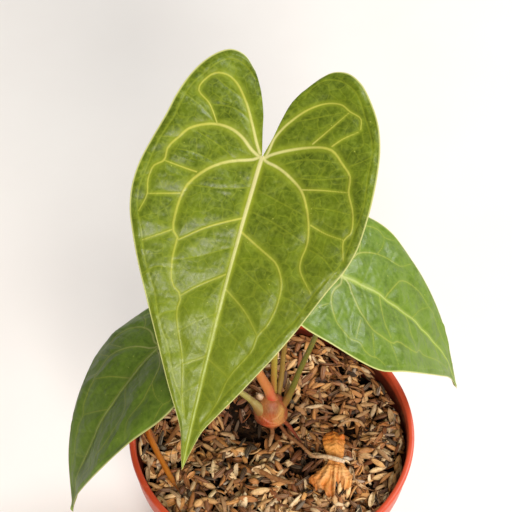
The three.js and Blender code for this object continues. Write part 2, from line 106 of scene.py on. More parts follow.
def ringed_faces(rows, sides, flip=False):
    """Faces of a stack of rings, closed at both ends by fans to two points stored after the rings."""
    faces = grid_faces(rows, sides, closed=True).tolist()
    low, last = rows * sides, (rows - 1) * sides
    for j in range(sides):
        k = (j + 1) % sides
        faces += [[low, k, j], [low + 1, last + j, last + k]]
    return [face[::-1] for face in faces] if flip else faces


def turn_in(sides):
    """Evenly spaced angles round a full turn."""
    return 2 * math.pi * np.arange(sides) / sides


def polar(radius, turn):
    """A point on the level, by its distance from the pot's axis and its direction."""
    return np.array([radius * math.cos(turn), radius * math.sin(turn)])


def grid_outline(rows, columns):
    """The points along the edge of a grid, in order round it."""
    index = np.arange(rows * columns).reshape(rows, columns)
    return np.concatenate([index[0], index[1:, -1], index[-1, -2::-1], index[-2:0:-1, 0]]).tolist()


def cad_box(node):
    """The low and high corners of a CAD node, in millimetres."""
    return [np.array(corner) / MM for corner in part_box(node)]


def cad_points(node):
    """The points of a CAD node, in millimetres."""
    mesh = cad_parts[node].data
    flat = np.empty(len(mesh.vertices) * 3)
    mesh.vertices.foreach_get("co", flat)
    return flat.reshape(-1, 3) / MM


# %% [markdown]
# ## Smooth curves and natural unevenness
#
# Grown shapes have no straight lines and no exact repeats. Two helpers give that: a curve that passes smoothly
# through a few stops, and a soft seeded unevenness made of many waves in random directions. The same seed gives
# the same plant every time.


# %% Curves and unevenness
def run_length(points):
    """Distance along a line of points, from its first point to each."""
    return np.concatenate([[0], np.cumsum(np.linalg.norm(np.diff(points, axis=0), axis=1))])


def smooth_curve(stops, count):
    """Evenly spaced points on a centripetal Catmull-Rom curve through the stops."""
    p = np.asarray(stops, float)
    p = np.vstack([2 * p[0] - p[1], p, 2 * p[-1] - p[-2]])
    runs = []
    for a, b, c, d in zip(p, p[1:], p[2:], p[3:]):
        t1 = np.linalg.norm(b - a) ** 0.5
        t2 = t1 + np.linalg.norm(c - b) ** 0.5
        t3 = t2 + np.linalg.norm(d - c) ** 0.5
        t = np.linspace(t1, t2, 16, endpoint=False)[:, None]
        a1 = (t1 - t) / t1 * a + t / t1 * b
        a2 = (t2 - t) / (t2 - t1) * b + (t - t1) / (t2 - t1) * c
        a3 = (t3 - t) / (t3 - t2) * c + (t - t2) / (t3 - t2) * d
        b1 = (t2 - t) / t2 * a1 + t / t2 * a2
        b2 = (t3 - t) / (t3 - t1) * a2 + (t - t1) / (t3 - t1) * a3
        runs.append((t2 - t) / (t2 - t1) * b1 + (t - t1) / (t2 - t1) * b2)
    dense = np.vstack([*runs, p[-2:-1]])
    length = run_length(dense)
    at = np.linspace(0, length[-1], count)
    return np.column_stack([np.interp(at, length, dense[:, k]) for k in range(dense.shape[1])])


def uneven(points, size, seed, octaves=3):
    """Soft seeded noise of about -1 to 1 whose features are roughly size millimetres across."""
    rng = np.random.default_rng(seed)
    total = np.zeros(len(points))
    for octave in range(octaves):
        for _ in range(6):
            direction = rng.normal(size=points.shape[1])
            direction *= 2 * math.pi * rng.uniform(0.6, 1.4) * 2**octave / size / np.linalg.norm(direction)
            total += 0.55**octave * np.sin(points @ direction + rng.uniform(0, 2 * math.pi))
    return total / 3.2


def smooth_step(low, high, x):
    """A soft rise from 0 at low to 1 at high, or a fall where low is the larger."""
    t = np.clip((x - low) / (high - low), 0, 1)
    return t * t * (3 - 2 * t)


def bell(x, width):
    """A soft bump of height 1 at x = 0."""
    return np.exp(-((x / width) ** 2))


# %% [markdown]
# ## Colours and nodes
#
# Colours are written as the sRGB hex values one would read off a swatch; the renderer wants linear light, so one
# function converts them. One small function adds a shader node with its settings and links, which keeps each
# material readable as a short recipe.


# %% Colour and node tools
def linear(code):
    """sRGB hex to the linear colour that shaders work in."""
    channels = [int(code[i : i + 2], 16) / 255 for i in (1, 3, 5)]
    return [c / 12.92 if c <= 0.04045 else ((c + 0.055) / 1.055) ** 2.4 for c in channels] + [1.0]


def painted(points, base, spots):
    """One colour per point: a base colour with soft spots, each given as place, size in millimetres and colour."""
    total = np.tile(linear(base), (len(points), 1))
    weight = np.ones((len(points), 1))
    for place, size, code in spots:
        share = 6 * np.exp(-(((points - np.asarray(place)) ** 2).sum(axis=1) / size**2))[:, None]
        total += share * linear(code)
        weight += share
    return total / weight


def new_material(name):
    """An empty material with its output node."""
    material = bpy.data.materials.new(name)
    material.use_nodes = True
    material.node_tree.nodes.clear()
    material.node_tree.nodes.new("ShaderNodeOutputMaterial")
    return material


def add(material, kind, settings=None, out=None, **inputs):
    """Adds a node and gives one of its outputs: the one called out, or else the first that is in use.

    Settings are the node's own properties; inputs are values, or outputs of other nodes to link from.
    """
    tree = material.node_tree
    node = tree.nodes.new("ShaderNode" + kind)
    for key, value in (settings or {}).items():
        if key == "stops":
            ramp = node.color_ramp
            while len(ramp.elements) < len(value):
                ramp.elements.new(0.5)
            for element, (at, colour) in zip(ramp.elements, value):
                element.position = at
                element.color = linear(colour) if isinstance(colour, str) else [colour] * 3 + [1]
        else:
            setattr(node, key, value)
    for key, value in inputs.items():
        socket = node.inputs[int(key[1:])] if key[0] == "_" else node.inputs[key.replace("_", " ")]
        if isinstance(value, bpy.types.NodeSocket):
            tree.links.new(value, socket)
        else:
            socket.default_value = linear(value) if isinstance(value, str) else value
    return node.outputs[out] if out else next(output for output in node.outputs if output.enabled)


# Settings that many nodes share: a colour mix, a mix that darkens, and a soft step.
COLOUR = {"data_type": "RGBA"}
TINT = {"data_type": "RGBA", "blend_type": "MULTIPLY"}
SOFT = {"interpolation_type": "SMOOTHSTEP"}


def finish_material(material, shader):
    """Links the finished shader to the material's output."""
    output = next(n for n in material.node_tree.nodes if n.type == "OUTPUT_MATERIAL")
    material.node_tree.links.new(shader, output.inputs["Surface"])
    print("material:", material.name, "with", len(material.node_tree.nodes), "nodes")
    return material


# %% [markdown]
# ## The nursery pot
#
# The pot is one thin polypropylene moulding: a tapered wall of 1.6 mm, a collar band for the hands and a narrow
# rolled lip. It could be a cylinder with modifiers, but a turned profile says more with less: each corner of the
# real mould is a point of the profile, and each is rounded by a small fillet so that edges catch light as moulded
# edges do. The drain holes and the notches in the foot are then cut out of it.

# %% Pot shape
# All in millimetres: the collar's foot, the wall under it, the base, the lip and the relief under the base.
pot_low, pot_high = cad_box("pot")
RIM_RADIUS = (pot_high[0] - pot_low[0]) / 2
POT_HEIGHT = pot_high[2]
COLLAR = POT_HEIGHT - 14
UNDER_COLLAR = RIM_RADIUS - 3.8
BASE_RADIUS = 43.0
WALL = 1.6
LIP = 2.6
FLOOR = 4.0
PAD_RADIUS = 14.0
FOOT_WIDTH = 6.0
CHANNEL = 2.0


def wall_radius(z):
    """Outside of the tapered wall below the collar."""
    return BASE_RADIUS + (UNDER_COLLAR - BASE_RADIUS) * z / COLLAR


def filleted(corners, steps=4):
    """A profile whose corners, each given as radius, height and fillet, are rounded."""
    points = [corners[0][:2]]
    for before, here, after in zip(corners, corners[1:], corners[2:]):
        a, b, c = (np.array(q[:2], float) for q in (before, here, after))
        reach = min(here[2], np.linalg.norm(a - b) * 0.48, np.linalg.norm(c - b) * 0.48)
        start = b + (a - b) / np.linalg.norm(a - b) * reach
        end = b + (c - b) / np.linalg.norm(c - b) * reach
        for t in np.linspace(0, 1, steps + 1):
            points.append((1 - t) ** 2 * start + 2 * t * (1 - t) * b + t * t * end)
    points.append(corners[-1][:2])
    return np.array(points, float)


foot = BASE_RADIUS - FOOT_WIDTH
lip_in = RIM_RADIUS - LIP
# The corners of the profile from the middle of the base, up the outside and down the inside.
pot_profile = filleted([
    (0, 0, 0), (PAD_RADIUS, 0, 0.4), (PAD_RADIUS + 1, CHANNEL, 0.4), (foot - 1, CHANNEL, 0.4), (foot, 0, 0.4),
    (BASE_RADIUS - 0.2, 0, 1.0), (UNDER_COLLAR, COLLAR, 0.3), (UNDER_COLLAR + 2.2, COLLAR, 0.6),
    (RIM_RADIUS - 0.9, POT_HEIGHT - 3, 0.8), (RIM_RADIUS, POT_HEIGHT - 2.4, 0.6), (RIM_RADIUS, POT_HEIGHT, 1.1),
    (lip_in, POT_HEIGHT, 1.0), (lip_in - 0.3, COLLAR + WALL + 1, 0.6),
    (UNDER_COLLAR - WALL, COLLAR + WALL - 1, 0.6), (wall_radius(FLOOR) - WALL, FLOOR, 0.8), (0, FLOOR, 0),
])
# Rings on the long outside wall keep the cuts in the foot from disturbing the shading above them.
long_run = int(np.argmax(np.diff(pot_profile[:, 1])))
wall_foot, wall_top = pot_profile[long_run : long_run + 2]
wall_rings = wall_foot + np.outer((0.02, 0.05, 0.15, 0.4, 0.7), wall_top - wall_foot)
pot_profile = np.vstack([pot_profile[: long_run + 1], wall_rings, pot_profile[long_run + 1 :]])


def turned(profile, count=256):
    """Points and faces of a closed turned shape whose profile begins and ends on the axis."""
    angle = turn_in(count)
    ring = profile[1:-1]
    points = np.stack(
        [ring[:, :1] * np.cos(angle), ring[:, :1] * np.sin(angle), np.repeat(ring[:, 1:], count, 1)], -1
    ).reshape(-1, 3)
    points = np.vstack([points, [0, 0, profile[0][1]], [0, 0, profile[-1][1]]])
    return points, ringed_faces(len(ring), count)


def cut(piece, cutters):
    """Cuts the cutter objects out of a piece and removes them."""
    for cutter in cutters:
        step = piece.modifiers.new("cut", "BOOLEAN")
        step.object = cutter
        step.operation = "DIFFERENCE"
        step.solver = "EXACT"
    bpy.context.view_layer.update()
    evaluated = piece.evaluated_get(bpy.context.evaluated_depsgraph_get())
    finished = bpy.data.meshes.new_from_object(evaluated)
    piece.modifiers.clear()
    old = piece.data
    piece.data = finished
    bpy.data.meshes.remove(old)
    for cutter in cutters:
        bpy.data.objects.remove(cutter)


def block(name, low, high, turn=0.0):
    """A box between two corners in millimetres, turned about the pot's axis."""
    corners = np.array([[x, y, z] for z in (low[2], high[2]) for y in (low[1], high[1]) for x in (low[0], high[0])])
    c, s = math.cos(turn), math.sin(turn)
    corners = corners @ np.array([[c, s, 0], [-s, c, 0], [0, 0, 1]])
    faces = [[0, 2, 3, 1], [4, 5, 7, 6], [0, 1, 5, 4], [2, 6, 7, 3], [0, 4, 6, 2], [1, 3, 7, 5]]
    return mesh_piece(name, corners, faces)


pot = mesh_piece("nursery_pot", *turned(pot_profile))
cutters = []
HOLE_RING = (PAD_RADIUS + foot) / 2
HOLE_RADIUS = 3.2
NOTCH_HALF_WIDTH, NOTCH_HEIGHT = 4.5, 1.6
hole_profile = np.array([(0, -1), (HOLE_RADIUS, -1), (HOLE_RADIUS, FLOOR + 1), (0, FLOOR + 1)], float)
hole_points, hole_faces = turned(hole_profile, 32)
for turn in np.arange(8) * math.pi / 4:
    cutters.append(mesh_piece("hole", hole_points + [*polar(HOLE_RING, turn), 0], hole_faces))
for turn in math.pi / 4 + np.arange(4) * math.pi / 2:
    low = (foot - 3, -NOTCH_HALF_WIDTH, -NOTCH_HEIGHT)
    high = (BASE_RADIUS + 3, NOTCH_HALF_WIDTH, NOTCH_HEIGHT)
    cutters.append(block("notch", low, high, turn))
cut(pot, cutters)
print("pot:", len(pot.data.polygons), "faces")

# %% [markdown]
# ## Moulded polypropylene
#
# Nursery pots are injection-moulded polypropylene, filled with a brick-red pigment. The surface is satin, never
# mirror-like, with very fine drag lines up the wall from the mould. In use it gathers a pale dusting of dried
# minerals. Inside, below the lip, the wall is painted nearly black: painted shade, for the shadow inside the pot.
# The wall is thin enough to glow a little, so a small share of subsurface light is kept.

# %% Pot material
polypropylene = new_material("moulded_red_polypropylene")
place = add(polypropylene, "TexCoord", None, "Object")
drag = add(polypropylene, "Mapping", Vector=place, Scale=(1, 1, 0.04))
drag_lines = add(polypropylene, "TexNoise", Vector=drag, Scale=900, Detail=2)
blotches = add(polypropylene, "TexNoise", Vector=place, Scale=55, Detail=4)
dust = add(polypropylene, "TexNoise", Vector=place, Scale=260, Detail=6, Roughness=0.7)
dust_mask = add(polypropylene, "ValToRGB", {"stops": [(0.58, 0.0), (0.78, 0.35)]}, Fac=dust)
pigment = add(polypropylene, "ValToRGB", {"stops": [(0.3, "#c04324"), (0.7, "#cf4f2b")]}, Fac=blotches)
dusty = add(polypropylene, "Mix", COLOUR, Factor=dust_mask, _6=pigment, _7="#c98a6c")
# Painted shade: the inner wall below the lip is darkened nearly to black, for the shadow inside the pot.
inner_depth = add(polypropylene, "Attribute", {"attribute_name": "below_lip"}, "Fac")
inner_shade_share = add(polypropylene, "MapRange", SOFT, Value=inner_depth, From_Min=0.12, From_Max=0.34, To_Max=0.9)
inner_shade_colour = add(polypropylene, "Mix", COLOUR, Factor=inner_shade_share, _6=dusty, _7="#35150c")
roughness = add(polypropylene, "MapRange", Value=blotches, From_Min=0.3, From_Max=0.7, To_Min=0.34, To_Max=0.48)
fine = add(polypropylene, "Bump", Height=drag_lines, Strength=0.12, Distance=0.0002)
plastic = add(polypropylene, "BsdfPrincipled", Base_Color=inner_shade_colour, Roughness=roughness, IOR=1.49, Normal=fine,
              Subsurface_Weight=0.12, Subsurface_Radius=(0.004, 0.0012, 0.0006))
finish_material(polypropylene, plastic)
pot.data.materials.append(polypropylene)
# How far below the lip each inner point lies, which sets the painted shade inside the pot.
corners = np.array([vertex.co for vertex in pot.data.vertices]) / MM
reach = np.where(corners[:, 2] < COLLAR + 0.5, wall_radius(corners[:, 2]) - WALL / 2, lip_in + 0.1)
inner = (np.hypot(corners[:, 0], corners[:, 1]) < reach) & (corners[:, 2] > FLOOR - 0.1)
below_lip = np.where(inner, np.clip((POT_HEIGHT - 1 - corners[:, 2]) / (POT_HEIGHT - COLLAR), 0, 1), 0)
pot.data.attributes.new("below_lip", "FLOAT", "POINT").data.foreach_set("value", below_lip.astype(np.float32))
pot.data.shade_smooth()
pot.data.set_sharp_from_angle(angle=math.radians(40))
belongs(pot, "pot_plastic", "pot")

# %% [markdown]
# ## Reading the stems from the frame
#
# A stem in the CAD is a plain round limb. Its rings of points give the centre line and the thickness, so the fine
# stems below can follow the same lines exactly. The rings are found by sorting the points along a first smooth
# guess of the line and splitting them wherever there is a gap.


# %% Stem lines
RING_GAP = 0.22
FEWEST_IN_RING = 7


def spine_of(node, foot):
    """Ring centres and radii along a CAD stem, beginning at the end nearer to the foot."""
    points = np.unique(np.round(cad_points(node), 2), axis=0)
    middle = points.mean(axis=0)
    axis = np.linalg.svd(points - middle, full_matrices=False)[2][0]
    along = (points - middle) @ axis
    guess = np.polynomial.polynomial.polyfit(along, points, 4)
    at = np.linspace(along.min(), along.max(), 600)
    line = np.polynomial.polynomial.polyval(at, guess).T
    nearest = ((points[:, None] - line[None]) ** 2).sum(axis=2).argmin(axis=1)
    place = run_length(line)[nearest]
    order = np.argsort(place)
    rings = np.split(order, np.flatnonzero(np.diff(place[order]) > RING_GAP) + 1)
    rings = [ring for ring in rings if len(ring) >= FEWEST_IN_RING]
    centres = np.array([points[ring].mean(axis=0) for ring in rings])
    radii = np.array([np.linalg.norm(points[ring] - c, axis=1).mean() for ring, c in zip(rings, centres)])
    if np.linalg.norm(centres[0] - foot) > np.linalg.norm(centres[-1] - foot):
        centres, radii = centres[::-1], radii[::-1]
    return centres, radii


def tube(line, radii, sides, flat=1.0, bump=None):
    """Points and faces of a round-ended limb, with the share along it and the share round it at each point.

    flat squeezes the section; bump(along, around) gives a change of radius as a share of it.
    """
    line = np.asarray(line, float)
    count = len(line)
    radii = np.asarray(radii, float)
    tangents = np.gradient(line, axis=0)
    tangents /= np.linalg.norm(tangents, axis=1)[:, None]
    side = np.cross(tangents[0], UP if abs(tangents[0][2]) < 0.9 else np.array([0.0, 1.0, 0.0]))
    sides_of, ups_of = [], []
    for tangent in tangents:
        side = side - tangent * (side @ tangent)
        side /= np.linalg.norm(side)
        sides_of.append(side)
        ups_of.append(np.cross(side, tangent))
    cap = np.array([0.995, 0.93, 0.79, 0.58, 0.3])  # radius of the rings that round an end
    depth = np.sqrt(1 - cap**2)
    rows = (
        [(0, -depth[k], cap[k]) for k in (4, 3, 2, 1, 0)]
        + [(i, 0.0, 1.0) for i in range(count)]
        + [(count - 1, depth[k], cap[k]) for k in range(5)]
    )
    angle = turn_in(sides)
    points, along, around = [], [], []
    for i, shift, share in rows:
        bumps = np.zeros(sides) if bump is None else bump(np.full(sides, i / (count - 1)), angle / (2 * math.pi))
        r = radii[i] * share * (1 + bumps)
        centre = line[i] + tangents[i] * shift * radii[i]
        points.append(centre + np.outer(r * np.cos(angle), sides_of[i])
                      + np.outer(r * np.sin(angle) * flat, ups_of[i]))
        along += [i / (count - 1)] * sides
        around += (np.arange(sides) / sides).tolist()
    points = np.vstack([*points, line[0] - tangents[0] * radii[0], line[-1] + tangents[-1] * radii[-1]])
    return points, ringed_faces(len(rows), sides), np.array(along + [0.0, 1.0]), np.array(around + [0.0, 0.0])


crown_low, crown_high = cad_box("crown")
CROWN_AT = np.array([*(crown_low + crown_high)[:2] / 2, 0.0])
CROWN_BULGE, CROWN_STANDS = 1.02, 15.3  # widest share of its radius, and its height above the mix
CROWN_RADIUS = (crown_high[0] - crown_low[0]) / 2 / CROWN_BULGE
GROUND = crown_high[2] - CROWN_STANDS
print(f"crown: radius {CROWN_RADIUS:.1f} mm at {CROWN_AT[:2].round(1)}, mix surface at {GROUND:.1f} mm")


def stem(node, inside, count=60, skip=3):
    """A smooth line with radii for a stem that grows out of a point inside the crown."""
    centres, radii = spine_of(node, CROWN_AT + GROUND * UP)
    centres, radii = centres[skip:], radii[skip:]
    if inside is not None:
        centres = np.vstack([inside, centres])
        radii = np.concatenate([[radii[0]], radii])
    line = smooth_curve(np.column_stack([centres, radii]), count)
    return line[:, :3], line[:, 3]


# %% [markdown]
# ## The crown
#
# The crown is the short swollen stem where everything meets. It isn't smooth: the foot of every old leaf wraps
# round it as a sheath, and each sheath ends in a thin slanting edge that dries red-brown. It is turned like a bulb
# and then pushed outwards below three slanting edges, which gives real steps that catch the light.

# %% Crown shape
# Heights above the mix in millimetres, and the radius there as a share of the crown's.
CROWN_PROFILE = [
    (-16, 0.2), (-12, 0.34), (-6, 0.42), (-2, 0.52), (0.5, 0.74), (2.2, 0.9), (4.0, 0.99), (6.2, CROWN_BULGE),
    (8.6, 0.97), (10.8, 0.84), (12.8, 0.62), (14.4, 0.38), (15.1, 0.16),
]
# Each sheath: height of its edge, how far the edge slants, the direction of its high side, its thickness.
SHEATHS = [(9.9, 3.4, 0.6, 0.24), (6.4, 3.0, 3.4, 0.48), (3.2, 2.0, 5.1, 0.4)]


def crown_shape(rows=150, sides=180):
    """The bulb of the crown, with a step below the edge of each old sheath."""
    profile = smooth_curve(CROWN_PROFILE, rows)
    height = np.repeat(profile[:, 0], sides)
    angle = np.tile(turn_in(sides), rows)
    share = np.repeat(profile[:, 1], sides)
    radius = share * (CROWN_RADIUS - 0.5)
    for edge, slant, direction, thickness in SHEATHS:
        line = edge + slant * np.cos(angle - direction) + 0.25 * np.sin(5 * angle + edge)
        inside = smooth_step(0.16, -0.16, height - line)
        thinning = 0.45 + 0.55 * smooth_step(-5, 0, height - line)
        radius = radius + thickness * inside * thinning * np.minimum(1, share * 1.6)
    flat = np.stack([6 * np.cos(angle), 6 * np.sin(angle), height], -1)
    radius = radius * (1 + 0.018 * uneven(flat, 6, 3)) + 0.05 * np.sin(46 * angle + 0.25 * height)
    points = CROWN_AT + GROUND * UP + np.stack([radius * np.cos(angle), radius * np.sin(angle), height], -1)
    points = np.vstack([points, CROWN_AT + (GROUND - 16.2) * UP, CROWN_AT + (GROUND + 15.2) * UP])
    return points, ringed_faces(rows, sides)


crown_points, crown_faces = crown_shape()

# %% [markdown]
# ## Living stem skins
#
# Fresh plant skin is waxy and a little see-through, so the materials for the crown, the petioles and the sheath all
# share the same recipe: fine lengthwise fibres, a colour that changes along the organ, a satin gloss and some
# subsurface light. The crown is ochre and gold, with rust and dark red where old sheaths have dried, so its colours
# are painted point by point as soft spots.

# %% Crown material
bulb_skin = new_material("rust_red_sheath_skin")
paint = add(bulb_skin, "Attribute", {"attribute_name": "paint"})
place = add(bulb_skin, "TexCoord", None, "Object")
stretch = add(bulb_skin, "Mapping", Vector=place, Scale=(1, 1, 0.25))
fibres = add(bulb_skin, "TexNoise", Vector=stretch, Scale=1400, Detail=4, Roughness=0.6)
patches = add(bulb_skin, "TexNoise", Vector=place, Scale=260, Detail=5, Roughness=0.62)
scorched = add(bulb_skin, "ValToRGB", {"stops": [(0.5, 0.0), (0.72, 0.55)]}, Fac=patches)
rusty = add(bulb_skin, "Mix", COLOUR, Factor=scorched, _6=paint, _7="#84381f")
fibre_tint = add(bulb_skin, "MapRange", Value=fibres, From_Min=0.35, From_Max=0.75, To_Min=0.0, To_Max=0.28)
fibred = add(bulb_skin, "Mix", COLOUR, Factor=fibre_tint, _6=rusty, _7="#e0ac74")
relief = add(bulb_skin, "Bump", Height=fibres, Strength=0.4, Distance=0.0003)
skin = add(bulb_skin, "BsdfPrincipled", Base_Color=fibred, Roughness=0.46, IOR=1.45, Normal=relief,
           Subsurface_Weight=0.18, Subsurface_Radius=(0.003, 0.0012, 0.0005))
finish_material(bulb_skin, skin)

# The colours of the bulb: places from the crown's axis and the mix surface, in millimetres.
BULB_BASE = "#a8602a"
BULB_SPOTS = [
    ((1.0, -5.0, 11.2), 2.0, "#94480c"), ((-0.4, -4.2, 12.3), 1.8, "#7c4510"), ((0.4, -5.7, 10.2), 1.6, "#bb4f28"),
    ((4.2, -4.0, 10.0), 2.2, "#d6a55a"), ((3.5, -5.7, 7.2), 2.2, "#d99a58"), ((4.8, -4.0, 2.8), 2.0, "#b8713e"),
    ((6.3, -1.8, 7.0), 1.8, "#c2503e"), ((5.8, 1.6, 11.0), 2.6, "#a84038"), ((-1.8, -6.4, 5.4), 2.0, "#cc3f22"),
    ((0.8, -6.4, 4.2), 2.0, "#cf6a38"), ((-4.4, -4.9, 4.2), 2.1, "#7c170e"), ((-2.8, -5.6, 2.6), 2.0, "#8e2216"),
    ((-5.9, -3.4, 6.2), 1.8, "#a04f38"), ((-6.6, -0.6, 4.5), 2.2, "#8a4c30"), ((-0.2, -6.2, 1.5), 1.8, "#a8603c"),
    ((0.9, -3.0, 13.2), 1.3, "#b04a2c"), ((-4.9, 0.4, 11.8), 2.2, "#bc8450"), ((-2.6, -2.6, 12.4), 1.6, "#a8642e"),
    ((-4.6, 3.0, 8.0), 3.6, "#a9783e"), ((0.0, 6.0, 6.0), 4.6, "#985628"), ((0.0, 0.0, -8.0), 6.0, "#4a2417"),
]


def inside_crown(x, y, z):
    """A point given from the crown's axis and the mix surface."""
    return CROWN_AT + np.array([x, y, GROUND + z])


def crown_spots(spots):
    """Painted spots whose places are given from the crown's axis and the mix surface."""
    return [(inside_crown(*place), size, code) for place, size, code in spots]


crown = mesh_piece("crown_of_old_sheaths", crown_points, crown_faces, material=bulb_skin)
store_colours(crown, "paint", painted(crown_points, BULB_BASE, crown_spots(BULB_SPOTS)))
belongs(crown, "crown_skin", "crown")

# %% [markdown]
# ## Petioles
#
# A petiole is the stalk of one leaf. Here each is a stretched wiry rod of about 2.5 mm, swollen at the crown where
# it clasps the stem, and again just under the blade: that upper swelling is the joint that lets the leaf turn to
# the light. Along the rod run a dozen shallow ribs. Its colour goes from dusty tan at the foot to yellow-green.


# %% Petioles
def ribbed(count, depth, seed):
    """A change of radius with lengthwise ribs that wander slightly."""
    return lambda along, around: depth * np.sin(2 * math.pi * count * around + 3 * np.sin(4 * along + seed))


def petiole_skin(name, foot, body, light, neck):
    """Waxy petiole skin that runs from the foot's colour to the neck's under the blade."""
    material = new_material(name)
    along = add(material, "Attribute", {"attribute_name": "along"}, "Fac")
    lit_side = add(material, "Attribute", {"attribute_name": "lit"}, "Fac")
    place = add(material, "TexCoord", None, "Object")
    spots = add(material, "TexNoise", Vector=place, Scale=420, Detail=4)
    stretch = add(material, "Mapping", Vector=place, Scale=(1, 1, 0.12))
    fibre = add(material, "TexNoise", Vector=stretch, Scale=2200, Detail=3)
    length = add(material, "ValToRGB", {"stops": [(0.06, foot), (0.2, body), (0.86, body), (0.96, neck)]}, Fac=along)
    # Painted highlight: the side towards the key lamp is mixed towards the light colour.
    side = add(material, "MapRange", Value=lit_side, From_Min=0.1, From_Max=1.0, To_Max=0.7)
    lit = add(material, "Mix", COLOUR, Factor=side, _6=length, _7=light)
    fleck_mask = add(material, "ValToRGB", {"stops": [(0.6, 0.0), (0.72, 0.6)]}, Fac=spots)
    fleck = add(material, "Mix", COLOUR, Factor=fleck_mask, _6=lit, _7=foot)
    bump = add(material, "Bump", Height=fibre, Strength=0.35, Distance=0.0002)
    shader = add(material, "BsdfPrincipled", Base_Color=fleck, Roughness=0.4, IOR=1.45, Normal=bump,
                 Subsurface_Weight=0.2, Subsurface_Radius=(0.0016, 0.0016, 0.0005))
    return finish_material(material, shader)


yellow_petiole = petiole_skin("waxy_yellow_petiole", "#a8703a", "#a39a34", "#cfc456", "#a7ab52")
green_petiole = petiole_skin("waxy_green_petiole", "#a2703c", "#6c6a26", "#a89a4a", "#a0a24c")
pale_petiole = petiole_skin("waxy_pale_petiole", "#9a7440", "#a9a058", "#bdb270", "#b0ae5c")

# Painted highlight: petioles are painted paler on the side that faces the key lamp, up and to the right.
LIGHT_SIDE = np.array([0.75, 0.1, 0.65])
# The first rings of the left petiole are left out, so that its clasp bends softly out of the crown.
CLASP_SKIP = 5


def grow_stem(name, node, inside, material, slot, swell, bump=None, sides=30, count=110, skip=3, flat=1.0,
              base=None, spots=()):
    """One stem along its CAD line; swell(along) changes its thickness, and spots are painted over the base."""
    line, radii = stem(node, inside, count, skip)
    radii = radii * swell(np.linspace(0, 1, count))
    points, faces, along, _ = tube(line, radii, sides, flat, bump)
    nearest = np.minimum((along * (count - 1)).round().astype(int), count - 1)
    outward = points - line[nearest]
    outward /= np.maximum(np.linalg.norm(outward, axis=1), 1e-6)[:, None]
    # How squarely each point faces the key lamp's side, which sets the painted highlight.
    lit = np.clip(outward @ LIGHT_SIDE, 0, 1)
    piece = mesh_piece(name, points, faces, {"along": along, "lit": lit}, material)
    if base:
        store_colours(piece, "paint", painted(points, base, crown_spots(spots)))
    return belongs(piece, slot, node)


def joint_under_blade(t):
    """A slim stalk with the swollen joint just below the blade."""
    return 0.86 - 0.03 * smooth_step(0.8, 0.86, t) + 0.2 * smooth_step(0.9, 0.94, t)


def clasp(t):
    """A broad foot that narrows quickly into the stalk."""
    return joint_under_blade(t) + 0.4 * smooth_step(0.1, 0.03, t)


grow_stem("petiole_of_front_leaf", "petiole_front", inside_crown(1.2, 3.6, 9), yellow_petiole, "petiole_skin",
          bump=ribbed(11, 0.03, 1), swell=joint_under_blade, skip=4)
grow_stem("petiole_of_right_leaf", "petiole_right", inside_crown(4.0, -0.4, 6), green_petiole, "petiole_skin",
          bump=ribbed(11, 0.03, 2), swell=joint_under_blade, skip=4)
grow_stem("petiole_of_left_leaf", "petiole_left", inside_crown(-3.2, -2.6, 7.6), pale_petiole, "petiole_skin",
          bump=ribbed(9, 0.03, 3), swell=clasp, skip=CLASP_SKIP)

# %% [markdown]
# ## The next leaf, the bud and the scale leaf
#
# The new leaf is still rolled in its sheath, like a paper cigar: one edge overlaps the other in a long slanting
# step. The step is made by letting the radius jump once round the roll, and turning that place slowly along it.

# %% Shoot and buds
def rolled(along, around):
    """One overlapping edge that winds round the sheath, with faint pleats."""
    seam = (around - 0.08 - 0.35 * along) % 1.0
    step = 0.11 * smooth_step(0, 0.03, seam) * (1 - seam)
    return step + 0.012 * np.sin(2 * math.pi * 17 * around + 5 * along) - 0.02


shoot_skin = new_material("papery_orange_sheath")
grain_lines = add(shoot_skin, "Mapping", Vector=add(shoot_skin, "TexCoord", None, "Object"), Scale=(1, 1, 0.1))
paper = add(shoot_skin, "TexNoise", Vector=grain_lines, Scale=1500, Detail=4)
roll_paint = add(shoot_skin, "Attribute", {"attribute_name": "paint"})
fibre_mask = add(shoot_skin, "MapRange", Value=paper, From_Min=0.4, From_Max=0.75, To_Max=0.4)
tinted = add(shoot_skin, "Mix", COLOUR, Factor=fibre_mask, _6=roll_paint, _7="#c4683c")
paper_bump = add(shoot_skin, "Bump", Height=paper, Strength=0.4, Distance=0.0002)
paper_shader = add(shoot_skin, "BsdfPrincipled", Base_Color=tinted, Roughness=0.5, IOR=1.45, Normal=paper_bump,
                   Subsurface_Weight=0.25, Subsurface_Radius=(0.003, 0.0012, 0.0006))
finish_material(shoot_skin, paper_shader)

bud_skin = petiole_skin("pale_bud_skin", "#b88a5a", "#c9a888", "#ead2b8", "#d6b48e")
old_skin = petiole_skin("dry_tan_petiole", "#7c5a2c", "#937636", "#b89650", "#7a5230")
scale_skin = petiole_skin("papery_tan_scale", "#b98a58", "#cdb083", "#e0caa0", "#c9a878")

ROLL_SPOTS = [
    ((0.0, -1.8, 14.4), 1.3, "#c42f22"), ((-1.2, -1.0, 16.0), 1.3, "#cc4a3a"), ((1.4, -0.8, 16.6), 0.9, "#d97a58"),
    ((2.6, -2.0, 13.4), 1.2, "#d98662"), ((3.2, 0.2, 18.0), 1.1, "#96302a"), ((-3.0, -0.6, 16.4), 1.5, "#c98452"),
    ((0.4, 0.6, 19.0), 1.6, "#d7724e"), ((-2.4, 1.4, 20.0), 2.2, "#cf8648"), ((-6.0, 5.0, 28.0), 5.0, "#cc8347"),
    ((-10.0, 9.0, 42.0), 9.0, "#bf8a54"),
]


def flared(t):
    """Wider where the sheath leaves the crown."""
    return 0.96 + 0.3 * smooth_step(0.16, 0.02, t)


